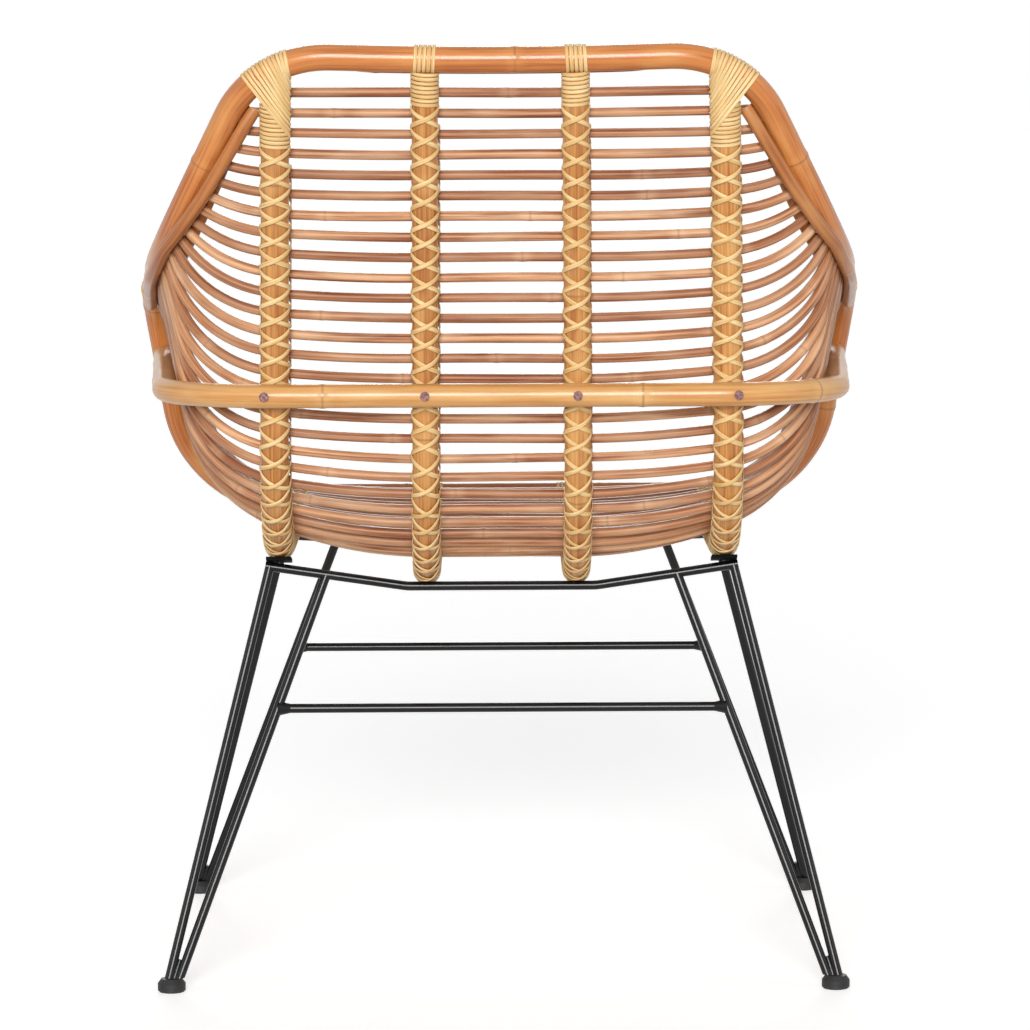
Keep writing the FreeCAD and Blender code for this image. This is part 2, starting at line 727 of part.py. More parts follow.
def build_basket(parts):
    """The rattan basket: rails, poles, hoop, ribs, sticks and bindings."""
    rail = tube(RAIL_PATH, RAIL_D)
    front = tube(FRONT_PATH, RAIL_D)
    parts["back_arm_rail"] = rail
    parts["front_rail"] = front
    parts["inner_pole"] = tube(inner_pole(), POLE_D)
    parts["front_pole"] = tube(front_pole(), POLE_D)
    outer_pole = smooth_path(pole_points(OUTER_POLE_STICKS, OUTER_SWINGS, POLE_APART))
    add_pair(parts, "outer_pole_{}", tube(outer_pole, POLE_D))
    hoop = tube(hoop_path(), HOOP_D).cut([front, parts["front_pole"]])
    hoop_rear_y = hoop_path().BoundBox.YMin - HOOP_D / 2
    inner, outer = make_ribs()
    nails = [make_nail(INNER_RIB, 0, hoop_rear_y), make_nail(OUTER_RIB, OUTER_NAIL_OUTWARD, hoop_rear_y)]
    nails += [mirrored(nail) for nail in nails]
    parts["back_hoop"] = largest(hoop.cut(nails))
    parts["hoop_nails"] = Part.makeCompound(nails)
    add_pair(parts, "inner_rib_{}", inner.cut(nails))
    add_pair(parts, "outer_rib_{}", outer.cut(nails))
    for first in range(0, STICK_COUNT, 2):
        pair = [make_stick(first, rail), make_stick(first + 1, rail)]
        parts[f"cross_sticks_{first // 2 + 1:02d}"] = Part.makeCompound(pair)
    parts["inner_rib_lashing_right"] = rib_lashings(INNER_RIB, 1)
    parts["inner_rib_lashing_left"] = rib_lashings(INNER_RIB, -1)
    parts["outer_rib_lashing_right"] = rib_lashings(OUTER_RIB, 1)
    parts["outer_rib_lashing_left"] = rib_lashings(OUTER_RIB, -1)
    shoulder, top, joint, hoop_end, fronts = make_bindings()
    parts["shoulder_bindings"] = Part.makeCompound([shoulder, mirrored(shoulder)])
    parts["top_bindings"] = Part.makeCompound([top, mirrored(top)])
    parts["arm_bindings"] = Part.makeCompound([joint, mirrored(joint), hoop_end, mirrored(hoop_end)])
    parts["seat_front_bindings"] = Part.makeCompound(fronts + [mirrored(f) for f in fronts])


def build_base(parts):
    """The rod base: crossbars, side bars, legs, stretchers, glides, plates and screws."""
    ends = {}
    plates = []
    screws = []
    shanks = []
    for row, y in BAR_Y.items():
        flat_z = INNER_RIB.underside_rod(y, 0)
        end_z = OUTER_RIB.underside_rod(y, PLATE_T)
        ends[row] = Vector(BAR_HALF - ROD_D / 2, y, end_z)
        parts[f"{row}_crossbar"] = tube(bar_path(y, flat_z, end_z), ROD_D)
        plate, screw, shank = make_plate(y, end_z)
        plates += [plate, mirrored(plate)]
        screws += [screw, mirrored(screw)]
        shanks += [shank, mirrored(shank)]
        share = (INNER_LEG_X - BAR_FLAT_HALF) / (BAR_HALF - BAR_FLAT_HALF)
        ends[row + "_inner"] = flat_z + (end_z - flat_z) * share
    drop = Z_AXIS * SIDE_BAR_DROP
    side_bar = bar(ends["rear"] - drop, ends["front"] - drop, ROD_D)
    crossbars = [parts["rear_crossbar"], parts["front_crossbar"]]
    side_bar = largest(side_bar.cut(crossbars))
    add_pair(parts, "side_bar_{}", side_bar)
    for row, y in BAR_Y.items():
        foot = FOOT[row]
        stretcher_z = STRETCHER_Z[row]
        inner_z = ends[row + "_inner"]
        leg = largest(make_leg(foot, y, ends[row].z, inner_z, parts[f"{row}_crossbar"], side_bar))
        add_pair(parts, row + "_leg_{}", leg)
        add_pair(parts, row + "_glide_{}", make_glide(foot))
        share = (inner_z - stretcher_z) / (inner_z - GLIDE_H + ROD_D)
        x = INNER_LEG_X + (foot[0] - ROD_D / 2 - INNER_LEG_X) * share
        joint = Vector(x, y + (foot[1] - y) * share, stretcher_z)
        bead = Part.makeCone(WELD_BEAD_R, ROD_D / 2, WELD_BEAD_LENGTH, joint, X_AXIS * -1)
        stretcher = bar(flipped(joint), joint, ROD_D).fuse([bead, mirrored(bead)]).removeSplitter()
        parts[f"{row}_stretcher"] = largest(stretcher.cut([leg, mirrored(leg)]))
    parts["mounting_plates"] = Part.makeCompound(plates)
    parts["plate_screws"] = Part.makeCompound(screws)
    for side in ("right", "left"):
        parts[f"outer_rib_{side}"] = parts[f"outer_rib_{side}"].cut(shanks)


def main():
    """Build every piece and write one file for each node."""
    parts = {}
    build_basket(parts)
    build_base(parts)
    os.makedirs("parts", exist_ok=True)
    for name, shape in parts.items():
        if not shape.isValid():
            print(f"{name}: not valid")
        print(f"{name}: {len(shape.Solids)} solids, {shape.Volume / 1000:.1f} cm3")
        shape.exportStep(f"parts/{name}.step")


main()
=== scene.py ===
"""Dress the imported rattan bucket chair: canes, sticks, peel lashings, rod base and studio."""
import logging
import math
import random
from dataclasses import dataclass, field
from enum import Enum
from typing import Callable, Sequence, Union

import bpy
from mathutils import Matrix, Vector


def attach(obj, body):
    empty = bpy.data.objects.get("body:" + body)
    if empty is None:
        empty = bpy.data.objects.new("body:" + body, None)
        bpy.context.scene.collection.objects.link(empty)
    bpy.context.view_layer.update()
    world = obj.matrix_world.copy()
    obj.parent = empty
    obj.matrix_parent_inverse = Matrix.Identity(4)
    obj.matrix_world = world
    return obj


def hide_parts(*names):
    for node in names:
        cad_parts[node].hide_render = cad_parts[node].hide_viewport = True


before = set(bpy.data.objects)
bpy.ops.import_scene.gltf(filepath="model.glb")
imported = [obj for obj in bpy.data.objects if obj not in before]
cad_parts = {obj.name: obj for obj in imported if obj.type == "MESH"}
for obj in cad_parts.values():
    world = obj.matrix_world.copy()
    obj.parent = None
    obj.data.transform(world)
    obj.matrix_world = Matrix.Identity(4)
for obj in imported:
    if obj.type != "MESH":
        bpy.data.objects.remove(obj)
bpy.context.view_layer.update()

log = logging.getLogger("rattan_chair")

Pair = tuple[float, float]
Triple = tuple[float, float, float]
Colour = Triple
# A place and a direction there
Station = tuple[Vector, Vector]
X_AXIS = Vector((1.0, 0.0, 0.0))
REAR = Vector((0.0, -1.0, 0.0))
# A slanting direction that the sides of a cane are measured from
SKEW = Vector((0.3, 0.5, 0.8))
# How far a strand's tone shifts its noise, so that strands differ
SEED_SPAN = 40.0
# Length on each side of a growth ring where the cane swells, in metres
RING_REACH = 0.005
# Distance from the nearest growth ring, in metres, where a strand has none
NO_RING = 1.0
# The shortest straight run that a path keeps, in metres
LEAST_RUN = 1e-7
PEEL_SIDES = 10


# Node trees


class Flow:
    """A value in a node tree. Arithmetic on it adds Math nodes."""

    def __init__(self, graph: "Graph", socket: bpy.types.NodeSocket) -> None:
        """Keep the tree and the socket that carries the value."""
        self.graph = graph
        self.socket = socket

    def __add__(self, other: "Number") -> "Flow":
        """The sum with a value or number."""
        return self.graph.maths("ADD", self, other)

    def __radd__(self, other: "Number") -> "Flow":
        """The sum with a number on the left."""
        return self.graph.maths("ADD", other, self)

    def __rsub__(self, other: "Number") -> "Flow":
        """The difference of a number and this value."""
        return self.graph.maths("SUBTRACT", other, self)

    def __mul__(self, other: "Number") -> "Flow":
        """The product with a value or number."""
        return self.graph.maths("MULTIPLY", self, other)

    def ramp(self, low: float, high: "Number", start: float = 0.0, end: float = 1.0) -> "Flow":
        """Ease from start to end as the value goes from low to high.

        Args:
            low: value where the ramp starts.
            high: value where the ramp ends.
            start: result at and before low.
            end: result at and after high.

        Returns:
            The eased value.
        """
        settings = {"interpolation_type": "SMOOTHSTEP"}
        inputs = {"Value": self, "From Min": low, "From Max": high, "To Min": start, "To Max": end}
        return self.graph.flow("ShaderNodeMapRange", settings, inputs, "Result")


Number = Union[Flow, float]


class Graph:
    """A node tree written as calls, where each call adds one node with its settings and links."""

    def __init__(self, tree: bpy.types.NodeTree) -> None:
        """Keep the tree that nodes are added to."""
        self.tree = tree

    def make(self, kind: str, settings: dict | None = None, inputs: dict | None = None) -> bpy.types.Node:
        """Add a node.

        Args:
            kind: Blender's name for the node type.
            settings: node properties, set before its sockets.
            inputs: socket identifiers, names or numbers, with the values or links they take.

        Returns:
            The new node.
        """
        node = self.tree.nodes.new(kind)
        for name, value in (settings or {}).items():
            setattr(node, name, value)
        for key, value in (inputs or {}).items():
            self.feed(self.find_input(node, key), value)
        return node

    def find_input(self, node: bpy.types.Node, key: Union[int, str]) -> bpy.types.NodeSocket:
        """Find a node's input socket.

        Args:
            node: the node.
            key: the socket's number, identifier or name.

        Returns:
            The input socket.
        """
        if isinstance(key, int):
            return node.inputs[key]
        for socket in node.inputs:
            if socket.identifier == key:
                return socket
        return next(s for s in node.inputs if s.name == key and s.enabled)

    def feed(self, socket: bpy.types.NodeSocket, value: object) -> None:
        """Link a value to a socket, or set the socket to a constant.

        Args:
            socket: the input socket.
            value: a flow, an output socket or a plain value.
        """
        if isinstance(value, Flow):
            self.tree.links.new(value.socket, socket)
        elif isinstance(value, bpy.types.NodeSocket):
            self.tree.links.new(value, socket)
        else:
            socket.default_value = value

    def flow(self, kind: str, settings: dict | None = None, inputs: dict | None = None,
             output: Union[int, str] = 0) -> Flow:
        """Add a node and take one of its outputs, by number or name."""
        return Flow(self, self.make(kind, settings, inputs).outputs[output])

    def maths(self, operation: str, first: Number, second: Number) -> Flow:
        """Add a Math node and return its result."""
        return self.flow("ShaderNodeMath", {"operation": operation}, {0: first, 1: second})


class ShaderGraph(Graph):
    """The node tree of one material, with the helpers that the finishes share."""

    def __init__(self, name: str) -> None:
        """Start an empty material of a given name."""
        self.material = bpy.data.materials.new(name)
        self.material.use_nodes = True
        super().__init__(self.material.node_tree)
        self.tree.nodes.clear()

    def attribute(self, name: str, output: str) -> Flow:
        """Read an attribute of the piece as a vector or a number."""
        return self.flow("ShaderNodeAttribute", {"attribute_name": name}, output=output)

    def object_place(self) -> Flow:
        """The surface point in the piece's own coordinates."""
        return self.flow("ShaderNodeTexCoord", output="Object")

    def noise(self, place: Flow, scale: Triple, detail: float, seed: Number = 0.0) -> Flow:
        """Sample a noise that may be stretched along one direction.

        Args:
            place: coordinates in metres.
            scale: features per metre along each coordinate.
            detail: octaves of finer noise.
            seed: a value that shifts the pattern.

        Returns:
            A value from 0 to 1.
        """
        scaled = self.flow("ShaderNodeVectorMath", {"operation": "MULTIPLY"}, {0: place, 1: scale})
        inputs = {"Vector": scaled, "W": seed, "Scale": 1.0, "Detail": detail, "Roughness": 0.6}
        return self.flow("ShaderNodeTexNoise", {"noise_dimensions": "4D"}, inputs)

    def mix(self, share: Number, first: object, second: object) -> Flow:
        """Blend two colours.

        Args:
            share: 0 for the first colour, 1 for the second.
            first: a colour or a link to one.
            second: a colour or a link to one.

        Returns:
            The blended colour.
        """
        inputs = {"Factor_Float": share}
        for key, colour in (("A_Color", first), ("B_Color", second)):
            inputs[key] = (*colour, 1.0) if isinstance(colour, tuple) else colour
        node = self.make("ShaderNodeMix", {"data_type": "RGBA", "clamp_factor": True}, inputs)
        return Flow(self, next(s for s in node.outputs if s.identifier == "Result_Color"))

    def bump(self, height: Flow, depth: float, strength: float) -> Flow:
        """Turn a height into a normal.

        Args:
            height: a value from 0 to 1.
            depth: how high 1 is, in metres.
            strength: share of the effect.

        Returns:
            The bumped normal.
        """
        return self.flow("ShaderNodeBump", None, {"Height": height, "Distance": depth, "Strength": strength})

    def surface(self, inputs: dict) -> bpy.types.Material:
        """End the tree in a Principled shader.

        Args:
            inputs: the shader's socket names with values or links.

        Returns:
            The finished material.
        """
        shader = self.make("ShaderNodeBsdfPrincipled", None, inputs)
        self.make("ShaderNodeOutputMaterial", None, {"Surface": shader.outputs[0]})
        return self.material


# Finishes


@dataclass(frozen=True)
class CaneFinish:
    """Lacquered rattan with its skin on: lengthwise fibres, blotches and growth rings."""

    slot: str
    pale: Colour
    body: Colour
    deep: Colour
    ring_colour: Colour = (0.16, 0.05, 0.018)
    ring_share: float = 0.42
    pale_share: float = 0.55
    tone_share: float = 0.35
    roughness: float = 0.30
    coat: float = 0.15
    index: float = 1.40
    fibre_scale: Triple = (9.0, 420.0, 420.0)
    fleck_scale: Triple = (60.0, 2000.0, 2000.0)
    blotch_scale: Triple = (14.0, 60.0, 60.0)
    ring_line: Pair = (0.0004, 0.0016)
    ring_halo: Pair = (0.002, 0.012)
    relief: float = 0.0003

    def material(self) -> bpy.types.Material:
        """Build the finish.

        Returns:
            A material that reads the piece's straight, tone and ring attributes.
        """
        graph = ShaderGraph(self.slot)
        straight = graph.attribute("straight", "Vector")
        tone = graph.attribute("tone", "Fac")
        ring = graph.attribute("ring", "Fac")
        seed = tone * SEED_SPAN
        fibre = graph.noise(straight, self.fibre_scale, 4.0, seed)
        fleck = graph.noise(straight, self.fleck_scale, 2.0, seed)
        blotch = graph.noise(straight, self.blotch_scale, 2.0, seed)
        grain = graph.mix(fibre.ramp(0.32, 0.66), self.deep, self.body)
        lit = blotch.ramp(0.40, 0.72) * self.pale_share + fleck.ramp(0.62, 0.78) * 0.12
        skin = graph.mix(lit, grain, self.pale)
        skin = graph.mix((1.0 - tone) * self.tone_share, skin, self.deep)
        line = ring.ramp(*self.ring_line, 1.0, 0.0)
        halo = ring.ramp(*self.ring_halo, 0.35, 0.0) * fibre
        skin = graph.mix(halo, skin, self.pale)
        skin = graph.mix(line * blotch.ramp(0.3, 0.6, 0.4, 1.0) * self.ring_share, skin, self.ring_colour)
        height = fibre * 0.55 + fleck * 0.25 + (1.0 - line) * 0.4
        return graph.surface({
            "Base Color": skin,
            "Roughness": self.roughness + fibre * 0.16,
            "IOR": self.index,
            "Coat Weight": self.coat,
            "Coat Roughness": 0.14,
            "Normal": graph.bump(height, self.relief, 0.5),
        })


@dataclass(frozen=True)
class PeelFinish:
    """Split rattan peel: pale straw strips with fine fibres and a slight shine."""

    slot: str = "rattan_peel"
    pale: Colour = (0.92, 0.72, 0.39)
    body: Colour = (0.68, 0.40, 0.135)
    deep: Colour = (0.30, 0.12, 0.035)
    roughness: float = 0.42
    index: float = 1.36
    fibre_scale: Triple = (24.0, 1500.0, 1500.0)
    blotch_scale: Triple = (30.0, 90.0, 90.0)
    relief: float = 0.0002

    def material(self) -> bpy.types.Material:
        """Build the finish.

        Returns:
            A material that reads the strip's straight and tone attributes.
        """
        graph = ShaderGraph(self.slot)
        straight = graph.attribute("straight", "Vector")
        tone = graph.attribute("tone", "Fac")
        seed = tone * SEED_SPAN
        fibre = graph.noise(straight, self.fibre_scale, 3.0, seed)
        blotch = graph.noise(straight, self.blotch_scale, 2.0, seed)
        skin = graph.mix(fibre.ramp(0.34, 0.64), self.body, self.pale)
        skin = graph.mix(blotch.ramp(0.50, 0.75, 0.0, 0.6), skin, self.body)
        skin = graph.mix(fibre.ramp(0.22, 0.34, 0.5, 0.0), skin, self.deep)
        skin = graph.mix((1.0 - tone) * 0.3, skin, self.body)
        return graph.surface({
            "Base Color": skin,
            "Roughness": self.roughness + fibre * 0.2,
            "IOR": self.index,
            "Normal": graph.bump(fibre, self.relief, 0.5),
        })


@dataclass(frozen=True)
class PowderCoat:
    """Gloss black powder coat on steel, with a fine orange-peel surface."""

    slot: str = "black_rod"
    dark: Colour = (0.0022, 0.0022, 0.0024)
    worn: Colour = (0.0060, 0.0058, 0.0056)
    roughness: float = 0.14
    index: float = 1.36
    cloud_scale: Triple = (45.0, 45.0, 45.0)
    peel_scale: Triple = (650.0, 650.0, 650.0)
    relief: float = 0.0002

    def material(self) -> bpy.types.Material:
        """Build the finish.

        Returns:
            A material on the piece's own coordinates.
        """
        graph = ShaderGraph(self.slot)
        place = graph.object_place()
        cloud = graph.noise(place, self.cloud_scale, 3.0)
        peel = graph.noise(place, self.peel_scale, 2.0)
        return graph.surface({
            "Base Color": graph.mix(cloud.ramp(0.35, 0.7), self.dark, self.worn),
            "Roughness": self.roughness + cloud * 0.12,
            "IOR": self.index,
            "Normal": graph.bump(peel, self.relief, 0.16),
        })


@dataclass(frozen=True)
class MouldedPlastic:
    """Dark moulded plastic with a fine spark texture and scuffs near the floor."""

    slot: str = "glide"
    dark: Colour = (0.009, 0.008, 0.008)
    scuffed: Colour = (0.040, 0.037, 0.034)
    scuff_height: float = 0.004
    roughness: float = 0.5
    index: float = 1.46
    spark_scale: Triple = (1800.0, 1800.0, 1800.0)
    rub_scale: Triple = (300.0, 300.0, 900.0)
    relief: float = 0.0001

    def material(self) -> bpy.types.Material:
        """Build the finish.

        Returns:
            A material on the piece's own coordinates.
        """
        graph = ShaderGraph(self.slot)
        place = graph.object_place()
        height = graph.flow("ShaderNodeSeparateXYZ", None, {0: place}, "Z")
        spark = graph.noise(place, self.spark_scale, 2.0)
        rub = graph.noise(place, self.rub_scale, 3.0)
        low = height.ramp(0.0, self.scuff_height, 1.0, 0.0)
        return graph.surface({
            "Base Color": graph.mix(low * rub.ramp(0.4, 0.7), self.dark, self.scuffed),
            "Roughness": self.roughness + spark * 0.2,
            "IOR": self.index,
            "Normal": graph.bump(spark, self.relief, 0.4),
        })


@dataclass(frozen=True)
class DarkSteel:
    """Darkened steel of a nail or screw head, blotched brown and slightly polished."""

    slot: str
    dark: Colour
    bright: Colour
    metallic: float = 0.85
    roughness: float = 0.30
    stain_scale: Triple = (420.0, 420.0, 420.0)
    scratch_scale: Triple = (2600.0, 500.0, 2600.0)
    relief: float = 0.0001

    def material(self) -> bpy.types.Material:
        """Build the finish.

        Returns:
            A material on the piece's own coordinates.
        """
        graph = ShaderGraph(self.slot)
        place = graph.object_place()
        stain = graph.noise(place, self.stain_scale, 3.0)
        scratch = graph.noise(place, self.scratch_scale, 2.0)
        return graph.surface({
            "Base Color": graph.mix(stain.ramp(0.35, 0.7), self.dark, self.bright),
            "Metallic": self.metallic,
            "Roughness": self.roughness + stain * 0.25,
            "Normal": graph.bump(scratch, self.relief, 0.3),
        })


class Finish(Enum):
    """The chair's finishes, by material slot."""

    RAIL = CaneFinish("rattan_rail", (0.82, 0.40, 0.12), (0.68, 0.25, 0.058), (0.42, 0.11, 0.022),
                      roughness=0.24, coat=0.3)
    HOOP = CaneFinish("rattan_hoop", (0.86, 0.56, 0.25), (0.75, 0.41, 0.14), (0.54, 0.23, 0.06),
                      coat=0.3)
    RIB = CaneFinish("rattan_rib", (0.84, 0.51, 0.19), (0.69, 0.33, 0.085), (0.33, 0.10, 0.022),
                     pale_share=0.45)
    # The pole's colours are partly its own darker cane and partly painted shade: darkened for the pole lying
    # in shade under the rail
    POLE = CaneFinish("rattan_pole", (0.72, 0.36, 0.13), (0.55, 0.21, 0.060), (0.30, 0.085, 0.022))
    STICK = CaneFinish("rattan_stick", (0.98, 0.67, 0.41), (0.80, 0.42, 0.21), (0.23, 0.070, 0.030),
                       ring_share=0.25, tone_share=0.62, roughness=0.26, coat=0.0, index=1.28)
    PEEL = PeelFinish()
    ROD = PowderCoat()
    PLATE = PowderCoat("plate", roughness=0.6, index=1.15)
    GLIDE = MouldedPlastic()
    NAIL = DarkSteel("nail", (0.06, 0.028, 0.030), (0.20, 0.11, 0.095))
    SCREW = DarkSteel("screw", (0.020, 0.020, 0.020), (0.075, 0.072, 0.070))


class Paintbox:
    """The materials in use, each built once."""

    def __init__(self) -> None:
        """Start with no materials."""
        self.materials: dict[Finish, bpy.types.Material] = {}

    def get(self, finish: Finish) -> bpy.types.Material:
        """Give a finish's material, building it on first use.

        Args:
            finish: the finish.

        Returns:
            Its material.
        """
        if finish not in self.materials:
            self.materials[finish] = finish.value.material()
        return self.materials[finish]


# Axes of bent canes


def square_to(direction: Vector, along: Vector) -> Vector:
    """The unit part of a direction that is square to another."""
    return (direction - along * direction.dot(along)).normalized()


def flipped(point: Vector) -> Vector:
    """The mirror image of a point across the chair's middle plane."""
    return Vector((-point.x, point.y, point.z))


def both_sides(right_half: Sequence[Vector]) -> list[Vector]:
    """A symmetric point list from its right half, whose first point is on the middle plane."""
    return [flipped(p) for p in reversed(right_half[1:])] + list(right_half)


@dataclass(frozen=True)
class Run:
    """One straight run or arc of a bent cane's axis. A straight run has no radius."""

    start: Vector
    way: Vector
    length: float
    bend: Vector
    radius: float

    def at(self, length: float) -> Station:
        """Find a place on the run.

        Args:
            length: distance from the run's start.

        Returns:
            The point and the direction there.
        """
        if self.radius == 0.0:
            return self.start + self.way * length, self.way
        angle = length / self.radius
        across = self.radius * math.sin(angle)
        inward = self.radius * (1.0 - math.cos(angle))
        return (self.start + self.way * across + self.bend * inward,
                self.way * math.cos(angle) + self.bend * math.sin(angle))


class BentPath:
    """Straight runs joined by tangent arcs, as a steam-bent cane is."""

    def __init__(self, points: Sequence[Vector], radii: Sequence[float]) -> None:
        """Lay out the runs.

        Args:
            points: the ends, and the corners between them.
            radii: the bend radius at each corner.
        """
        self.runs: list[Run] = []
        start = points[0]
        for before, corner, after, radius in zip(points, points[1:], points[2:], radii):
            into = (corner - before).normalized()
            out = (after - corner).normalized()
            turn = into.angle(out)
            setback = radius * math.tan(turn / 2)
            arc_start = corner - into * setback
            self._add_straight(start, arc_start)
            self.runs.append(Run(arc_start, into, radius * turn, square_to(out, into), radius))
            start = corner + out * setback
        self._add_straight(start, points[-1])
        self.length = sum(run.length for run in self.runs)

    def _add_straight(self, start: Vector, end: Vector) -> None:
        """Add a straight run, unless two arcs meet there.

        Args:
            start: where it starts.
            end: where it ends.
        """
        span = end - start
        if span.length > LEAST_RUN:
            self.runs.append(Run(start, span.normalized(), span.length, Vector(), 0.0))

    def station(self, length: float) -> Station:
        """Find a place along the path.

        Args:
            length: distance from the path's start.

        Returns:
            The point and the direction there.
        """
        for run in self.runs[:-1]:
            if length <= run.length:
                return run.at(length)
            length -= run.length
        return self.runs[-1].at(length)


class SmoothPath:
    """A smooth line through points, for poles that lie against other canes."""

    def __init__(self, points: Sequence[Vector], steps: int = 4) -> None:
        """Fit the line.

        Args:
            points: the points that the line passes through.
            steps: divisions between two points.
        """
        self.points = smooth_through(points, steps)
        self.lengths = [0.0]
        for before, after in zip(self.points, self.points[1:]):
            self.lengths.append(self.lengths[-1] + (after - before).length)
        self.length = self.lengths[-1]

    def station(self, length: float) -> Station:
        """Find a place along the line.

        Args:
            length: distance from the line's start.

        Returns:
            The point and the direction there.
        """
        place = 0
        while place < len(self.points) - 2 and self.lengths[place + 1] < length:
            place += 1
        span = self.points[place + 1] - self.points[place]
        way = span.normalized()
        return self.points[place] + way * (length - self.lengths[place]), way


def ways_along(points: Sequence[Vector]) -> list[Vector]:
    """The direction of a line of points at each of them."""
    last = len(points) - 1
    return [(points[min(k + 1, last)] - points[max(k - 1, 0)]).normalized() for k in range(last + 1)]


def smooth_through(points: Sequence[Vector], steps: int) -> list[Vector]:
    """Pass a cubic line through points.

    Args:
        points: the points to pass through.
        steps: divisions between two points.

    Returns:
        The denser points of the line.
    """
    ways = ways_along(points)
    dense = []
    for place in range(len(points) - 1):
        start, end = points[place], points[place + 1]
        span = (end - start).length
        for step in range(steps):
            t = step / steps
            dense.append(start * (2 * t**3 - 3 * t**2 + 1) + ways[place] * (span * (t**3 - 2 * t**2 + t))
                         + end * (3 * t**2 - 2 * t**3) + ways[place + 1] * (span * (t**3 - t**2)))
    return dense + [points[-1]]


Path = Union[BentPath, SmoothPath]


def lerp(ends: Pair, share: float) -> float:
    """The number at a share of the way between two."""
    return ends[0] + (ends[1] - ends[0]) * share


def sampled(path: Path, ends: Pair, step: float) -> list[Vector]:
    """Points between two lengths along a path, about a step apart."""
    count = round((ends[1] - ends[0]) / step)
    return [path.station(lerp(ends, k / count))[0] for k in range(count + 1)]


@dataclass
class Rib:
    """A rib with a reclined back that leans in at the top, a round heel and a nearly level seat."""

    top_x: float
    x: float
    radius: float
    profile: tuple[Pair, ...]
    stick_radius: float
    heel_radius: float = 0.150

    def __post_init__(self) -> None:
        """Work out the profile's directions."""
        self.top, self.heel, self.front = (Vector((self.x, y, z)) for y, z in self.profile)
        self.top.x = self.top_x
        self.into_back = (self.heel - self.top).normalized()
        self.along_seat = (self.front - self.heel).normalized()
        self.back_normal = X_AXIS.cross(self.into_back).normalized()
        self.seat_normal = X_AXIS.cross(self.along_seat)
        self.turn = self.into_back.angle(self.along_seat)
        self.setback = self.heel_radius * math.tan(self.turn / 2)
        self.lift = self.radius + self.stick_radius
        self.axis = self.path(0.0)
        self.line = self.path(self.lift)

    def path(self, offset: float) -> BentPath:
        """Move the profile towards the sitter.

        Args:
            offset: how far.

        Returns:
            The moved line.
        """
        shift = offset / (1 + self.back_normal.dot(self.seat_normal))
        points = [self.top + self.back_normal * offset,
                  self.heel + (self.back_normal + self.seat_normal) * shift,
                  self.front + self.seat_normal * offset]
        return BentPath(points, [self.heel_radius - offset])

    def axis_length(self, line_length: float) -> float:
        """Find the place on the rib's own axis beside a place on its stick line.

        Args:
            line_length: length along the stick line.

        Returns:
            The length along the axis.
        """
        straight = (self.heel - self.top).length - self.setback
        bend = (self.heel_radius - self.lift) * self.turn
        past = min(max(line_length - straight, 0.0), bend)
        return line_length + past * self.lift / (self.heel_radius - self.lift)


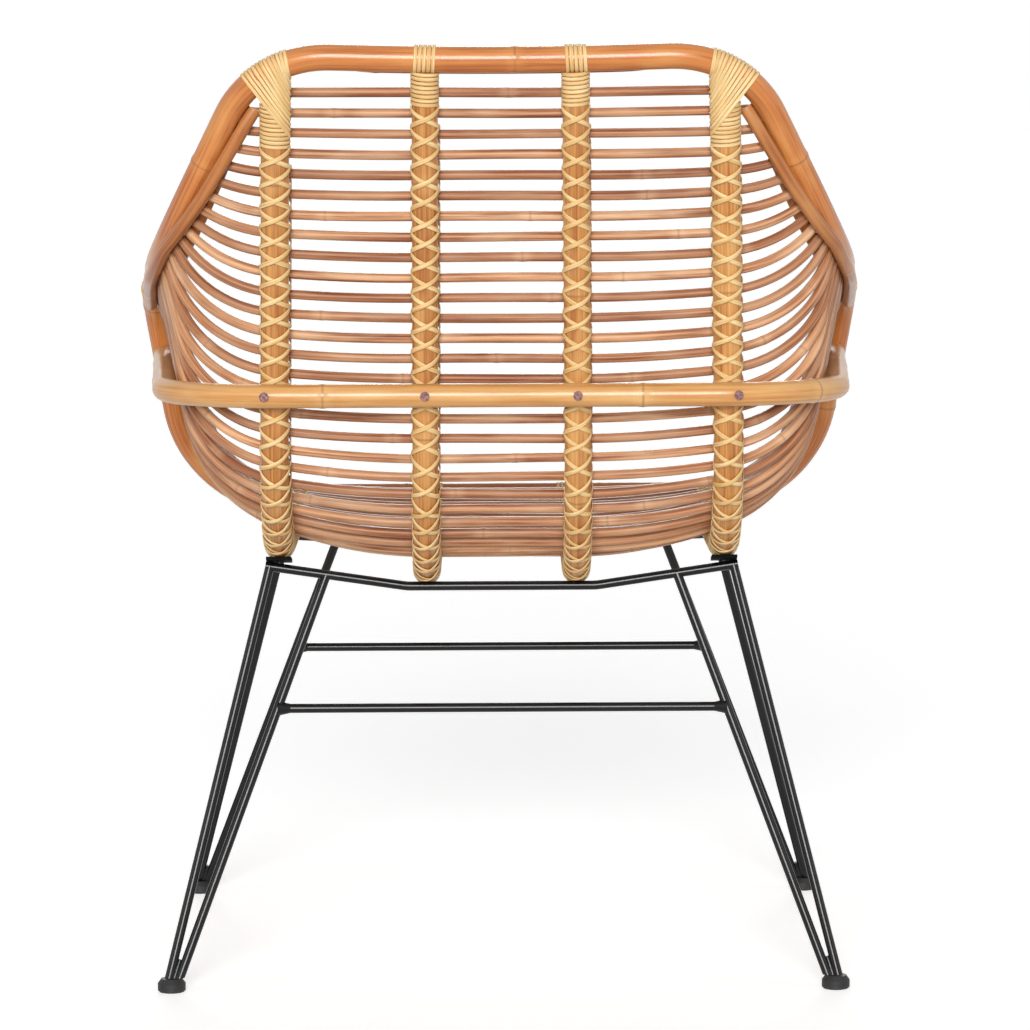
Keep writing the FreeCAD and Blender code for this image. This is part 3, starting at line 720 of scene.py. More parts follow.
@dataclass
class Basket:
    """The plan of the rattan basket: cane sizes in metres and the axes that the canes follow."""

    rail_r: float = 0.011
    pole_r: float = 0.00575
    hoop_r: float = 0.01025
    stick_r: float = 0.0041
    inner_rib_top_x: float = 0.062
    inner_rib_x: float = 0.065
    inner_rib_r: float = 0.011
    outer_rib_top_x: float = 0.185
    outer_rib_x: float = 0.193
    outer_rib_r: float = 0.012
    inner_profile: tuple[Pair, ...] = ((-0.3057, 0.782), (-0.219, 0.3455), (0.312, 0.367))
    outer_profile: tuple[Pair, ...] = ((-0.3047, 0.782), (-0.222, 0.374), (0.312, 0.371))
    rail_rear: float = -0.312
    rail_top_z: float = 0.7935
    top_bow: float = 4.0
    shoulder_x: float = 0.200
    shoulder_z: float = 0.799
    shoulder_bend: float = 0.092
    elbow: Triple = (0.286, -0.228, 0.634)
    elbow_bend: float = 0.170
    joint: Triple = (0.320, 0.162, 0.585)
    arm_front_run: float = 0.084
    arm_front_bend: float = 0.060
    seat_corner: Triple = (0.295, 0.312, 0.366)
    seat_corner_bend: float = 0.120
    pole_room: float = 0.0004
    pole_side_at_top: Triple = (0.0, 0.93, -0.37)
    pole_stops: int = 8
    front_pole_faces: Triple = (0.0, 0.252, 0.560)
    front_pole_stops: int = 30
    stick_count: int = 48
    back_sticks: int = 25
    back_pitch: float = 0.0175
    first_stick: float = 0.0173
    seat_front_gap: float = 0.020
    stick_corner_x: float = 0.257
    first_end: float = 0.222
    last_end_back: float = 0.032
    rear_spread: float = 0.2
    rear_spread_rate: float = 5.0
    front_spread: float = 0.04
    front_spread_power: int = 6
    hoop_z: float = 0.516
    hoop_corner_x: float = 0.2815
    hoop_corner_bend: float = 0.105
    pole_end_from_joint: float = 0.01705

    def __post_init__(self) -> None:
        """Lay out the rails and ribs that everything else rests on."""
        top = Vector((0.0, self.rail_rear, self.rail_top_z))
        shoulder = Vector((self.shoulder_x, self.rail_rear, self.shoulder_z))
        elbow = Vector(self.elbow)
        self.arm_joint = Vector(self.joint)
        half = [top, shoulder, elbow, self.arm_joint]
        bends = [self.elbow_bend, self.shoulder_bend, self.top_bow, self.shoulder_bend, self.elbow_bend]
        self.rail = BentPath(both_sides(half), bends)
        self.rail_half = self.rail.length / 2
        self.arm_way = (self.arm_joint - elbow).normalized()
        self.arm_bend = self.arm_joint + self.arm_way * self.arm_front_run
        self.front_corner = Vector(self.seat_corner)
        right = [self.arm_joint, self.arm_bend, self.front_corner]
        bends = [self.arm_front_bend, self.seat_corner_bend, self.seat_corner_bend, self.arm_front_bend]
        self.front = BentPath([flipped(p) for p in right] + right[::-1], bends)
        self.front_half = self.front.length / 2
        self.inner_rib = Rib(self.inner_rib_top_x, self.inner_rib_x, self.inner_rib_r, self.inner_profile,
                             self.stick_r)
        self.outer_rib = Rib(self.outer_rib_top_x, self.outer_rib_x, self.outer_rib_r, self.outer_profile,
                             self.stick_r)
        self.pole_apart = self.rail_r + self.pole_r + self.pole_room
        self.pole_swing = math.asin((self.pole_r + self.stick_r) / self.pole_apart)

    def stick_length(self, index: float, line: BentPath) -> float:
        """How far down a rib's stick line a stick lies.

        Args:
            index: the stick's number, or a place between two sticks.
            line: the rib's stick line.

        Returns:
            The length along that line.
        """
        whole = self.inner_rib.line.length
        last_back = self.back_sticks - 1
        back_end = self.first_stick + self.back_pitch * last_back
        seat_pitch = (whole - self.seat_front_gap - back_end) / (self.stick_count - self.back_sticks)
        length = self.first_stick + self.back_pitch * min(index, last_back)
        length += seat_pitch * max(index - last_back, 0)
        return length * line.length / whole

    def end_length(self, index: float) -> float:
        """How far from the rail's middle a stick ends.

        Args:
            index: the stick's number, or a place between two sticks.

        Returns:
            The length along the rail.
        """
        share = index / (self.stick_count - 1)
        rear = (1 - math.exp(-self.rear_spread_rate * share)) / (1 - math.exp(-self.rear_spread_rate))
        even = 1 - self.rear_spread - self.front_spread
        reach = self.rail_half - self.last_end_back - self.first_end
        front = share**self.front_spread_power
        return self.first_end + reach * (even * share + self.rear_spread * rear + self.front_spread * front)

    def right_rail(self, length: float) -> Station:
        """The point and direction on the right half of the rail, measured from its middle."""
        return self.rail.station(self.rail_half + length)

    def stick_points(self, index: float) -> tuple[Vector, Vector, Vector, Vector]:
        """Find the right half of a stick.

        Args:
            index: the stick's number, from the top of the back to the seat front.

        Returns:
            Its bow point, its place on the outer rib, its corner and its end on the rail's axis.
        """
        on_inner, _ = self.inner_rib.line.station(self.stick_length(index, self.inner_rib.line))
        on_outer, forward = self.outer_rib.line.station(self.stick_length(index, self.outer_rib.line))
        end, _ = self.right_rail(self.end_length(index))
        level = (on_outer - on_inner - X_AXIS * equal_legs(on_outer - on_inner, X_AXIS)).normalized()
        on_outer = on_outer + X_AXIS.cross(forward) * (self.outer_rib.lift * (1 / level.x - 1))
        bow = on_inner + X_AXIS * equal_legs(on_outer - on_inner, X_AXIS)
        way = (on_outer - bow).normalized()
        leg = min((self.stick_corner_x - on_outer.x) / way.x, equal_legs(end - on_outer, way))
        return bow, on_outer, on_outer + way * leg, end

    def stick_path(self, index: int) -> BentPath:
        """Bend a stick.

        Args:
            index: the stick's number.

        Returns:
            Its axis, from the rail's axis on one arm to that on the other.
        """
        bow, on_outer, corner, end = self.stick_points(index)
        way = (corner - bow).normalized()
        bow_bend = bend_for((on_outer - bow).length, X_AXIS, way)
        corner_bend = bend_for((corner - on_outer).length, way, (end - corner).normalized())
        half = [bow, corner, end]
        points = [flipped(p) for p in reversed(half)] + half
        return BentPath(points, [corner_bend, bow_bend, bow_bend, corner_bend])

    def pole_way(self, index: float, swing: float) -> Vector:
        """Find the side of the rail where a pole lies against the sticks' ends.

        Args:
            index: the stick's number, or a place between two sticks.
            swing: how far the pole is turned from the stick, round the rail.

        Returns:
            The direction from the rail to the pole.
        """
        _, _, corner, end = self.stick_points(index)
        _, forward = self.right_rail(self.end_length(index))
        towards = square_to(corner - end, forward)
        return towards * math.cos(swing) + forward.cross(towards) * math.sin(swing)

    def arm_pole(self, swing: float, first: float) -> list[Vector]:
        """Points of a pole beside the arm rail.

        Args:
            swing: how far it is turned from the sticks, round the rail.
            first: the stick that it starts at, or a place between two.

        Returns:
            Points from the shoulder to the arm binding.
        """
        points = []
        for index in [first, *range(1, self.stick_count)]:
            centre, _ = self.right_rail(self.end_length(index))
            points.append(centre + self.pole_way(index, swing) * self.pole_apart)
        centre, forward = self.right_rail(self.rail_half - self.pole_end_from_joint)
        last = square_to(self.pole_way(self.stick_count - 1, swing), forward)
        return points + [centre + last * self.pole_apart]

    def inner_pole_side(self, length: float) -> Vector:
        """Find the side of the rail where the inner pole lies.

        Args:
            length: distance from the rail's middle.

        Returns:
            The direction from the rail to the pole.
        """
        first = self.end_length(0)
        top_end = self.shoulder_x - self.shoulder_bend
        share = min(max((abs(length) - top_end) / (first - top_end), 0.0), 1.0)
        at_top = Vector(self.pole_side_at_top)
        return (at_top * (1 - share) + self.pole_way(0, self.pole_swing) * share).normalized()

    def inner_pole(self) -> SmoothPath:
        """Lay the thin pole inside the mouth of the bucket.

        Returns:
            Its axis, round both arms and the back.
        """
        half = []
        for stop in range(self.pole_stops):
            length = self.end_length(0) * stop / self.pole_stops
            centre, forward = self.right_rail(length)
            half.append(centre + square_to(self.inner_pole_side(length), forward) * self.pole_apart)
        return SmoothPath(both_sides(half + self.arm_pole(self.pole_swing, 0)))

    def front_side(self, point: Vector) -> Vector:
        """The direction from the front rail to its inner pole."""
        return Vector(self.front_pole_faces) - point

    def front_pole(self) -> SmoothPath:
        """Lay the thin pole inside the front rail.

        Returns:
            Its axis, down both uprights and over the seat front.
        """
        half = []
        reach = self.front_half - self.arm_front_run - self.pole_end_from_joint
        for stop in range(self.front_pole_stops + 1):
            length = reach * stop / self.front_pole_stops
            centre, forward = self.front.station(self.front_half + length)
            half.append(centre + square_to(self.front_side(centre), forward) * self.pole_apart)
        return SmoothPath(both_sides(half))

    def upright_at(self, z: float) -> Vector:
        """The point at a height on the right upright of the front rail."""
        share = (self.arm_bend.z - z) / (self.arm_bend.z - self.front_corner.z)
        return self.arm_bend.lerp(self.front_corner, share)

    def hoop(self) -> BentPath:
        """Bend the hoop.

        Returns:
            Its axis: level, behind all four ribs and forward to the two uprights.
        """
        rib = self.inner_rib
        on_rib = rib.top + rib.into_back * ((rib.top.z - self.hoop_z) / -rib.into_back.z)
        rear = on_rib.y + (self.inner_rib_r + self.hoop_r) / rib.into_back.z
        upright = self.upright_at(self.hoop_z)
        corner = Vector((self.hoop_corner_x, rear, self.hoop_z))
        bend = self.hoop_corner_bend
        return BentPath([flipped(upright), flipped(corner), corner, upright], [bend, bend])


def equal_legs(span: Vector, way: Vector) -> float:
    """How far along a way two equal tangents meet, for one arc across a span."""
    return span.dot(span) / (2 * span.dot(way))


def bend_for(setback: float, into: Vector, out: Vector) -> float:
    """The radius of the arc between two ways whose tangents have a given length."""
    return setback / math.tan(into.angle(out) / 2)


# Strands and the trees that give them a body


@dataclass
class Strand:
    """One cane or strip: the points of its axis and what varies along it."""

    points: list[Vector]
    tone: float = 0.5
    ring: list[float] = field(default_factory=list)
    girth: list[float] = field(default_factory=list)
    outward: list[Vector] = field(default_factory=list)

    def mirrored(self) -> "Strand":
        """The same strand on the chair's other side."""
        points = [flipped(p) for p in self.points]
        return Strand(points, 1.0 - self.tone, self.ring, self.girth, [flipped(v) for v in self.outward])


@dataclass
class CaneGrower:
    """Turns an axis into a cane with growth rings, a slight wobble and a changing girth."""

    seed: int
    step: float = 0.006
    ring_gaps: Pair = (0.17, 0.34)
    ring_margins: Pair = (0.02, 0.01)
    ring_steps: tuple[float, ...] = (-0.0045, -0.002, -0.0008, 0.0, 0.0008, 0.002, 0.0045)
    ring_clear: float = 0.005
    wobble: float = 0.0
    wobble_rates: Pair = (26.0, 19.0)
    girth_range: float = 0.02
    girth_spread: Pair = (-1.0, 0.6)
    girth_wave: float = 0.4
    girth_rate: float = 9.0

    def __post_init__(self) -> None:
        """Start the fixed random sequence."""
        self.chance = random.Random(self.seed)

    def grow(self, path: Path, start: float = 0.0, end: float = 0.0,
             rings_at: Sequence[float] = ()) -> Strand:
        """Follow a path.

        Args:
            path: the cane's axis.
            start: length left off at the path's start.
            end: length left off at its end.
            rings_at: places of growth rings from the path's middle, where they are known.

        Returns:
            The strand.
        """
        last = path.length - end
        rings = [path.length / 2 + place for place in rings_at]
        place = start + self.chance.uniform(self.ring_margins[0], self.ring_gaps[1])
        while not rings_at and place < last - self.ring_margins[1]:
            rings.append(place)
            place += self.chance.uniform(*self.ring_gaps)
        count = math.ceil((last - start) / self.step)
        stations = {start + (last - start) * k / count for k in range(count + 1)}
        for ring in rings:
            stations = {s for s in stations if abs(s - ring) > self.ring_clear}
            stations.update(ring + offset for offset in self.ring_steps)
        stations = sorted(s for s in stations | {start, last} if start <= s <= last)
        phase = [self.chance.uniform(0.0, math.tau) for _ in range(3)]
        strand = Strand([], self.chance.random())
        girth = 1.0 + self.chance.uniform(*self.girth_spread) * self.girth_range
        wave = self.girth_range * self.girth_wave
        for s in stations:
            point, way = path.station(s)
            up = square_to(SKEW, way)
            first, second = (math.sin(s * rate + shift) for rate, shift in zip(self.wobble_rates, phase))
            sway = up * first + way.cross(up) * second
            strand.points.append(point + sway * (self.wobble / 2))
            strand.ring.append(min([abs(s - r) for r in rings] + [NO_RING]))
            strand.girth.append(girth * (1.0 + wave * math.sin(s * self.girth_rate + phase[2])))
        return strand


class SweepTree(Graph):
    """A Geometry Nodes tree that sweeps a section along strands and keeps their straight length."""

    def __init__(self, name: str) -> None:
        """Start a tree with a geometry input and output."""
        super().__init__(bpy.data.node_groups.new(name, "GeometryNodeTree"))
        self.tree.interface.new_socket("Geometry", in_out="INPUT", socket_type="NodeSocketGeometry")
        self.tree.interface.new_socket("Geometry", in_out="OUTPUT", socket_type="NodeSocketGeometry")
        self.source = self.make("NodeGroupInput")

    def add_input(self, name: str, kind: str) -> None:
        """Add a named input of a socket type to the tree."""
        self.tree.interface.new_socket(name, in_out="INPUT", socket_type=kind)

    def taken(self, name: str) -> Flow:
        """The value of a named input."""
        return Flow(self, self.source.outputs[name])

    def named(self, name: str, data_type: str) -> Flow:
        """Read an attribute of the strands."""
        settings = {"data_type": data_type}
        return self.flow("GeometryNodeInputNamedAttribute", settings, {"Name": name}, "Attribute")

    def store(self, geometry: object, name: str, data_type: str, value: object) -> bpy.types.NodeSocket:
        """Store an attribute on points.

        Args:
            geometry: the geometry that takes it.
            name: the attribute's name.
            data_type: FLOAT or FLOAT_VECTOR.
            value: the value or link.

        Returns:
            The geometry that holds it.
        """
        settings = {"data_type": data_type, "domain": "POINT"}
        inputs = {"Geometry": geometry, "Name": name, "Value": value}
        return self.make("GeometryNodeStoreNamedAttribute", settings, inputs).outputs[0]

    def sweep(self, curve: object, section: object, scale: Number, half_size: tuple[Number, Number]) -> None:
        """Sweep the section, store straight coordinates and end the tree.

        Args:
            curve: the strands as curves.
            section: the section's outline, one metre in radius.
            scale: the section's size along the strand.
            half_size: the section's half height and half width in metres.
        """
        place = self.make("GeometryNodeInputPosition").outputs[0]
        section = self.store(section, "around", "FLOAT_VECTOR", place)
        length = self.make("GeometryNodeSplineParameter").outputs["Length"]
        curve = self.store(curve, "along", "FLOAT", length)
        swept = self.make("GeometryNodeCurveToMesh", None, {
            "Curve": curve, "Profile Curve": section, "Scale": scale, "Fill Caps": True})
        around = self.make("ShaderNodeSeparateXYZ", None, {0: self.named("around", "FLOAT_VECTOR")})
        straight = self.make("ShaderNodeCombineXYZ", None, {
            "X": self.named("along", "FLOAT"),
            "Y": Flow(self, around.outputs["X"]) * half_size[0],
            "Z": Flow(self, around.outputs["Y"]) * half_size[1]})
        mesh = self.store(swept.outputs[0], "straight", "FLOAT_VECTOR", straight.outputs[0])
        smooth = self.make("GeometryNodeSetShadeSmooth", None, {"Geometry": mesh})
        real = self.make("GeometryNodeRealizeInstances", None, {0: smooth.outputs[0]})
        painted = self.make("GeometryNodeSetMaterial", None, {
            "Geometry": real.outputs[0], "Material": self.taken("Material")})
        self.make("NodeGroupOutput", None, {0: painted.outputs[0]})


def cane_tree() -> bpy.types.NodeTree:
    """Build the tree for round canes, which swell at each growth ring.

    Returns:
        A tree with inputs for radius, sides, ring swell, ring reach and material.
    """
    tree = SweepTree("cane_sweep")
    for name in ("Radius", "Ring Swell", "Ring Reach"):
        tree.add_input(name, "NodeSocketFloat")
    tree.add_input("Sides", "NodeSocketInt")
    tree.add_input("Material", "NodeSocketMaterial")
    curve = tree.make("GeometryNodeMeshToCurve", None, {"Mesh": tree.source.outputs["Geometry"]})
    circle = tree.make("GeometryNodeCurvePrimitiveCircle", None, {
        "Resolution": tree.taken("Sides"), "Radius": 1.0})
    near = tree.named("ring", "FLOAT").ramp(0.0, tree.taken("Ring Reach"), 1.0, 0.0)
    swell = near * tree.taken("Ring Swell")
    radius = tree.taken("Radius") * tree.named("girth", "FLOAT") + swell
    half = tree.taken("Radius")
    tree.sweep(curve.outputs[0], circle.outputs[0], radius, (half, half))
    return tree.tree


def peel_tree() -> bpy.types.NodeTree:
    """Build the tree for flat peel strips that lie with their skin outward.

    Returns:
        A tree with inputs for width, thickness and material.
    """
    tree = SweepTree("peel_sweep")
    for name in ("Width", "Thickness"):
        tree.add_input(name, "NodeSocketFloat")
    tree.add_input("Material", "NodeSocketMaterial")
    curve = tree.make("GeometryNodeMeshToCurve", None, {"Mesh": tree.source.outputs["Geometry"]})
    laid = tree.make("GeometryNodeSetCurveNormal", {"mode": "FREE"}, {
        "Curve": curve.outputs[0], "Normal": tree.named("outward", "FLOAT_VECTOR")})
    circle = tree.make("GeometryNodeCurvePrimitiveCircle", None, {"Resolution": PEEL_SIDES, "Radius": 1.0})
    half = (tree.taken("Thickness") * 0.5, tree.taken("Width") * 0.5)
    flat = tree.make("ShaderNodeCombineXYZ", None, {"X": half[0], "Y": half[1], "Z": 1.0})
    section = tree.make("GeometryNodeTransform", None, {
        "Geometry": circle.outputs[0], "Scale": flat.outputs[0]})
    tree.sweep(laid.outputs[0], section.outputs[0], 1.0, (1.0, 1.0))
    return tree.tree


def put_in_scene(name: str, data: bpy.types.ID) -> bpy.types.Object:
    """Make an object and link it to the scene.

    Args:
        name: the object's name.
        data: its mesh, lamp or camera.

    Returns:
        The object.
    """
    made = bpy.data.objects.new(name, data)
    bpy.context.scene.collection.objects.link(made)
    return made


class Workshop:
    """Makes finished pieces from strands and hands them to the frame."""

    def __init__(self) -> None:
        """Build the shared trees and an empty paintbox."""
        self.paint = Paintbox()
        self.cane = cane_tree()
        self.peel = peel_tree()

    def make_cane(self, name: str, strands: list[Strand], radius: float, finish: Finish, sides: int,
                  swell: float) -> None:
        """Make a piece of round canes that replaces the node of the same name.

        Args:
            name: the node's name.
            strands: the canes.
            radius: their radius.
            finish: their finish.
            sides: faces round a cane.
            swell: how far a growth ring stands out.
        """
        inputs = {"Radius": radius, "Ring Swell": swell, "Ring Reach": RING_REACH, "Sides": sides}
        self.make_piece(name, strands, self.cane, inputs, finish)

    def make_peel(self, name: str, strands: list[Strand], width: float, thickness: float) -> None:
        """Make a piece of flat strips that replaces the node of the same name.

        Args:
            name: the node's name.
            strands: the strips.
            width: their width.
            thickness: their thickness.
        """
        self.make_piece(name, strands, self.peel, {"Width": width, "Thickness": thickness}, Finish.PEEL)

    def make_piece(self, name: str, strands: list[Strand], tree: bpy.types.NodeTree, inputs: dict,
                   finish: Finish) -> None:
        """Sweep strands, turn the result into a plain mesh and put it in the node's place.

        Args:
            name: the node's name.
            strands: the strands of the piece.
            tree: the tree that sweeps them.
            inputs: the tree's input values by name.
            finish: the finish.
        """
        piece = put_in_scene(f"{name}_dressed", strand_mesh(name, strands))
        sweep = piece.modifiers.new("sweep", "NODES")
        sweep.node_group = tree
        values = {**inputs, "Material": self.paint.get(finish)}
        for socket in tree.interface.items_tree:
            if socket.in_out == "INPUT" and socket.name in values:
                sweep[socket.identifier] = values[socket.name]
        depsgraph = bpy.context.evaluated_depsgraph_get()
        mesh = bpy.data.meshes.new_from_object(piece.evaluated_get(depsgraph))
        piece.modifiers.clear()
        old = piece.data
        piece.data = mesh
        bpy.data.meshes.remove(old)
        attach(piece, "root")
        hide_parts(name)
        log.info("%s: %d strands, %d faces", piece.name, len(strands), len(mesh.polygons))

    def paint_node(self, name: str, finish: Finish) -> None:
        """Give a kept node its finish.

        Args:
            name: the node's name.
            finish: the finish.
        """
        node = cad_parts[name]
        node.data.materials.clear()
        node.data.materials.append(self.paint.get(finish))
        log.info("%s: painted %s", name, finish.value.slot)


def strand_mesh(name: str, strands: list[Strand]) -> bpy.types.Mesh:
    """Write strands as edges with attributes on their points.

    Args:
        name: the mesh's name.
        strands: the strands.

    Returns:
        The mesh.
    """
    points, edges, tones, rings, girths, outwards = [], [], [], [], [], []
    for strand in strands:
        first = len(points)
        count = len(strand.points)
        points += strand.points
        edges += [(first + k, first + k + 1) for k in range(count - 1)]
        tones += [strand.tone] * count
        rings += strand.ring or [NO_RING] * count
        girths += strand.girth or [1.0] * count
        outwards += strand.outward or [X_AXIS] * count
    mesh = bpy.data.meshes.new(name)
    mesh.from_pydata(points, edges, [])
    for attribute, values in (("tone", tones), ("ring", rings), ("girth", girths)):
        mesh.attributes.new(attribute, "FLOAT", "POINT").data.foreach_set("value", values)
    flat = [number for vector in outwards for number in vector]
    mesh.attributes.new("outward", "FLOAT_VECTOR", "POINT").data.foreach_set("vector", flat)
    return mesh


# Sub-assemblies


@dataclass
class RailsAndPoles:
    """The rails, the thin poles beside them, the hoop and the four ribs."""

    basket: Basket
    rail_sides: int = 28
    pole_sides: int = 18
    rail_swell: float = 0.0005
    pole_swell: float = 0.0003
    inner_rib_head: float = 0.004
    outer_rib_cut: float = 0.0026
    rib_front_cut: float = 0.020
    hoop_end_cut: float = 0.009
    rail_rings: tuple[float, ...] = (-0.735, -0.520, -0.296, 0.012, 0.294, 0.505, 0.760)
    hoop_rings: tuple[float, ...] = (-0.640, -0.420, -0.149, 0.118, 0.272, 0.560)
    outer_pole_first: float = 0.35

    def build(self, workshop: Workshop) -> None:
        """Make each cane in its node's place.

        Args:
            workshop: makes the pieces.
        """
        basket = self.basket
        thick = CaneGrower(seed=11)
        self.rail_like(workshop, "back_arm_rail", thick.grow(basket.rail, rings_at=self.rail_rings),
                       basket.rail_r, Finish.RAIL)
        self.rail_like(workshop, "front_rail", thick.grow(basket.front), basket.rail_r, Finish.RAIL)
        cut = self.hoop_end_cut
        hoop = thick.grow(basket.hoop(), cut, cut, self.hoop_rings)
        self.rail_like(workshop, "back_hoop", hoop, basket.hoop_r, Finish.HOOP)
        for side in ("right", "left"):
            ribs = ((basket.inner_rib, "inner_rib", -self.inner_rib_head),
                    (basket.outer_rib, "outer_rib", self.outer_rib_cut))
            for rib, name, cut in ribs:
                strand = thick.grow(rib.axis, cut, self.rib_front_cut)
                strand = strand if side == "right" else strand.mirrored()
                self.rail_like(workshop, f"{name}_{side}", strand, rib.radius, Finish.RIB)
        self.build_poles(workshop)

    def rail_like(self, workshop: Workshop, name: str, strand: Strand, radius: float, finish: Finish) -> None:
        """Make one thick cane."""
        workshop.make_cane(name, [strand], radius, finish, self.rail_sides, self.rail_swell)

    def build_poles(self, workshop: Workshop) -> None:
        """Make the inner, outer and front poles.

        Args:
            workshop: makes the pieces.
        """
        basket = self.basket
        thin = CaneGrower(seed=23)
        outer = SmoothPath(basket.arm_pole(-basket.pole_swing, self.outer_pole_first))
        strands = {
            "inner_pole": thin.grow(basket.inner_pole()),
            "front_pole": thin.grow(basket.front_pole()),
            "outer_pole_right": thin.grow(outer),
            "outer_pole_left": thin.grow(outer).mirrored(),
        }
        for name, strand in strands.items():
            workshop.make_cane(name, [strand], basket.pole_r, Finish.POLE, self.pole_sides, self.pole_swell)


@dataclass
class CrossSticks:
    """The forty-eight bent sticks, two neighbours to a node."""

    basket: Basket
    sides: int = 14
    swell: float = 0.00022
    seed: int = 31
    step: float = 0.007
    ring_gaps: Pair = (0.16, 0.42)
    wobble: float = 0.0007
    girth_range: float = 0.035
    hidden_end: float = 0.003

    def build(self, workshop: Workshop) -> None:
        """Make each pair of sticks in its node's place.

        Args:
            workshop: makes the pieces.
        """
        grower = CaneGrower(self.seed, self.step, self.ring_gaps, wobble=self.wobble,
                            girth_range=self.girth_range)
        cut = self.basket.rail_r - self.hidden_end
        for first in range(0, self.basket.stick_count, 2):
            strands = [grower.grow(self.basket.stick_path(i), cut, cut) for i in (first, first + 1)]
            name = f"cross_sticks_{first // 2 + 1:02d}"
            workshop.make_cane(name, strands, self.basket.stick_r, Finish.STICK, self.sides, self.swell)


Loop = Callable[[float], Station]
Canes = list[tuple[list[Vector], float]]


@dataclass
class RibLashings:
    """Peel strips of both hands that cross on each rib behind and over every stick."""

    basket: Basket
    width: float = 0.0041
    thickness: float = 0.0012
    front_shift: float = 0.0022
    front_fullness: float = 0.6
    inner_first: float = 1.0
    outer_first: float = 3.0
    last_level: float = 46.0
    slip_range: float = 0.06
    slip_turns: float = 7.0
    crossing_width: float = 0.35
    points_per_turn: int = 30
    seed: int = 47

    def build(self, workshop: Workshop) -> None:
        """Make the lashings of all four ribs.

        Args:
            workshop: makes the pieces.
        """
        chance = random.Random(self.seed)
        ribs = ((self.basket.inner_rib, "inner", self.inner_first),
                (self.basket.outer_rib, "outer", self.outer_first))
        for rib, name, first in ribs:
            for side in ("right", "left"):
                strands = [self.strand(rib, side, hand, first + start, chance)
                           for hand in (1, -1) for start in (0, 1)]
                workshop.make_peel(f"{name}_rib_lashing_{side}", strands, self.width, self.thickness)

    def strand(self, rib: Rib, side: str, hand: int, first: float, chance: random.Random) -> Strand:
        """Wind one strip down a rib, one turn for two sticks.

        Args:
            rib: the rib, on the right side.
            side: right or left.
            hand: 1 where the strip rises to the right seen from behind, and lies on top.
            first: the stick level that it first crosses behind.
            chance: the random sequence for small differences.

        Returns:
            The strip.
        """
        turns = math.floor((self.last_level - first) / 2)
        over_stick = rib.radius + 2 * self.basket.stick_r + self.thickness
        strand = Strand([], chance.random())
        slip = chance.uniform(-self.slip_range, self.slip_range)
        for k in range(turns * self.points_per_turn + 1):
            angle = math.tau * k / self.points_per_turn
            level = first - 0.5 + angle / math.pi + slip * math.sin(angle / self.slip_turns)
            line_length = self.basket.stick_length(level, rib.line)
            centre, forward = rib.axis.station(rib.axis_length(line_length))
            if side == "left":
                centre, forward = flipped(centre), flipped(forward)
            normal = X_AXIS.cross(forward).normalized()
            swing = math.sin(angle)
            crossing = math.exp(-((swing**2 - 1.0) / self.crossing_width) ** 2) if hand > 0 else 0.0
            layer = self.thickness * (0.5 + crossing)
            across = (rib.radius + layer) * math.cos(angle) * hand
            if swing >= 0.0:
                height = -(rib.radius + layer) * swing
            else:
                across += self.front_shift * math.sqrt(-swing)
                height = (over_stick + layer) * (-swing) ** self.front_fullness
            outward = X_AXIS * across + normal * height
            strand.points.append(centre + outward)
            strand.outward.append(outward.normalized())
        return strand


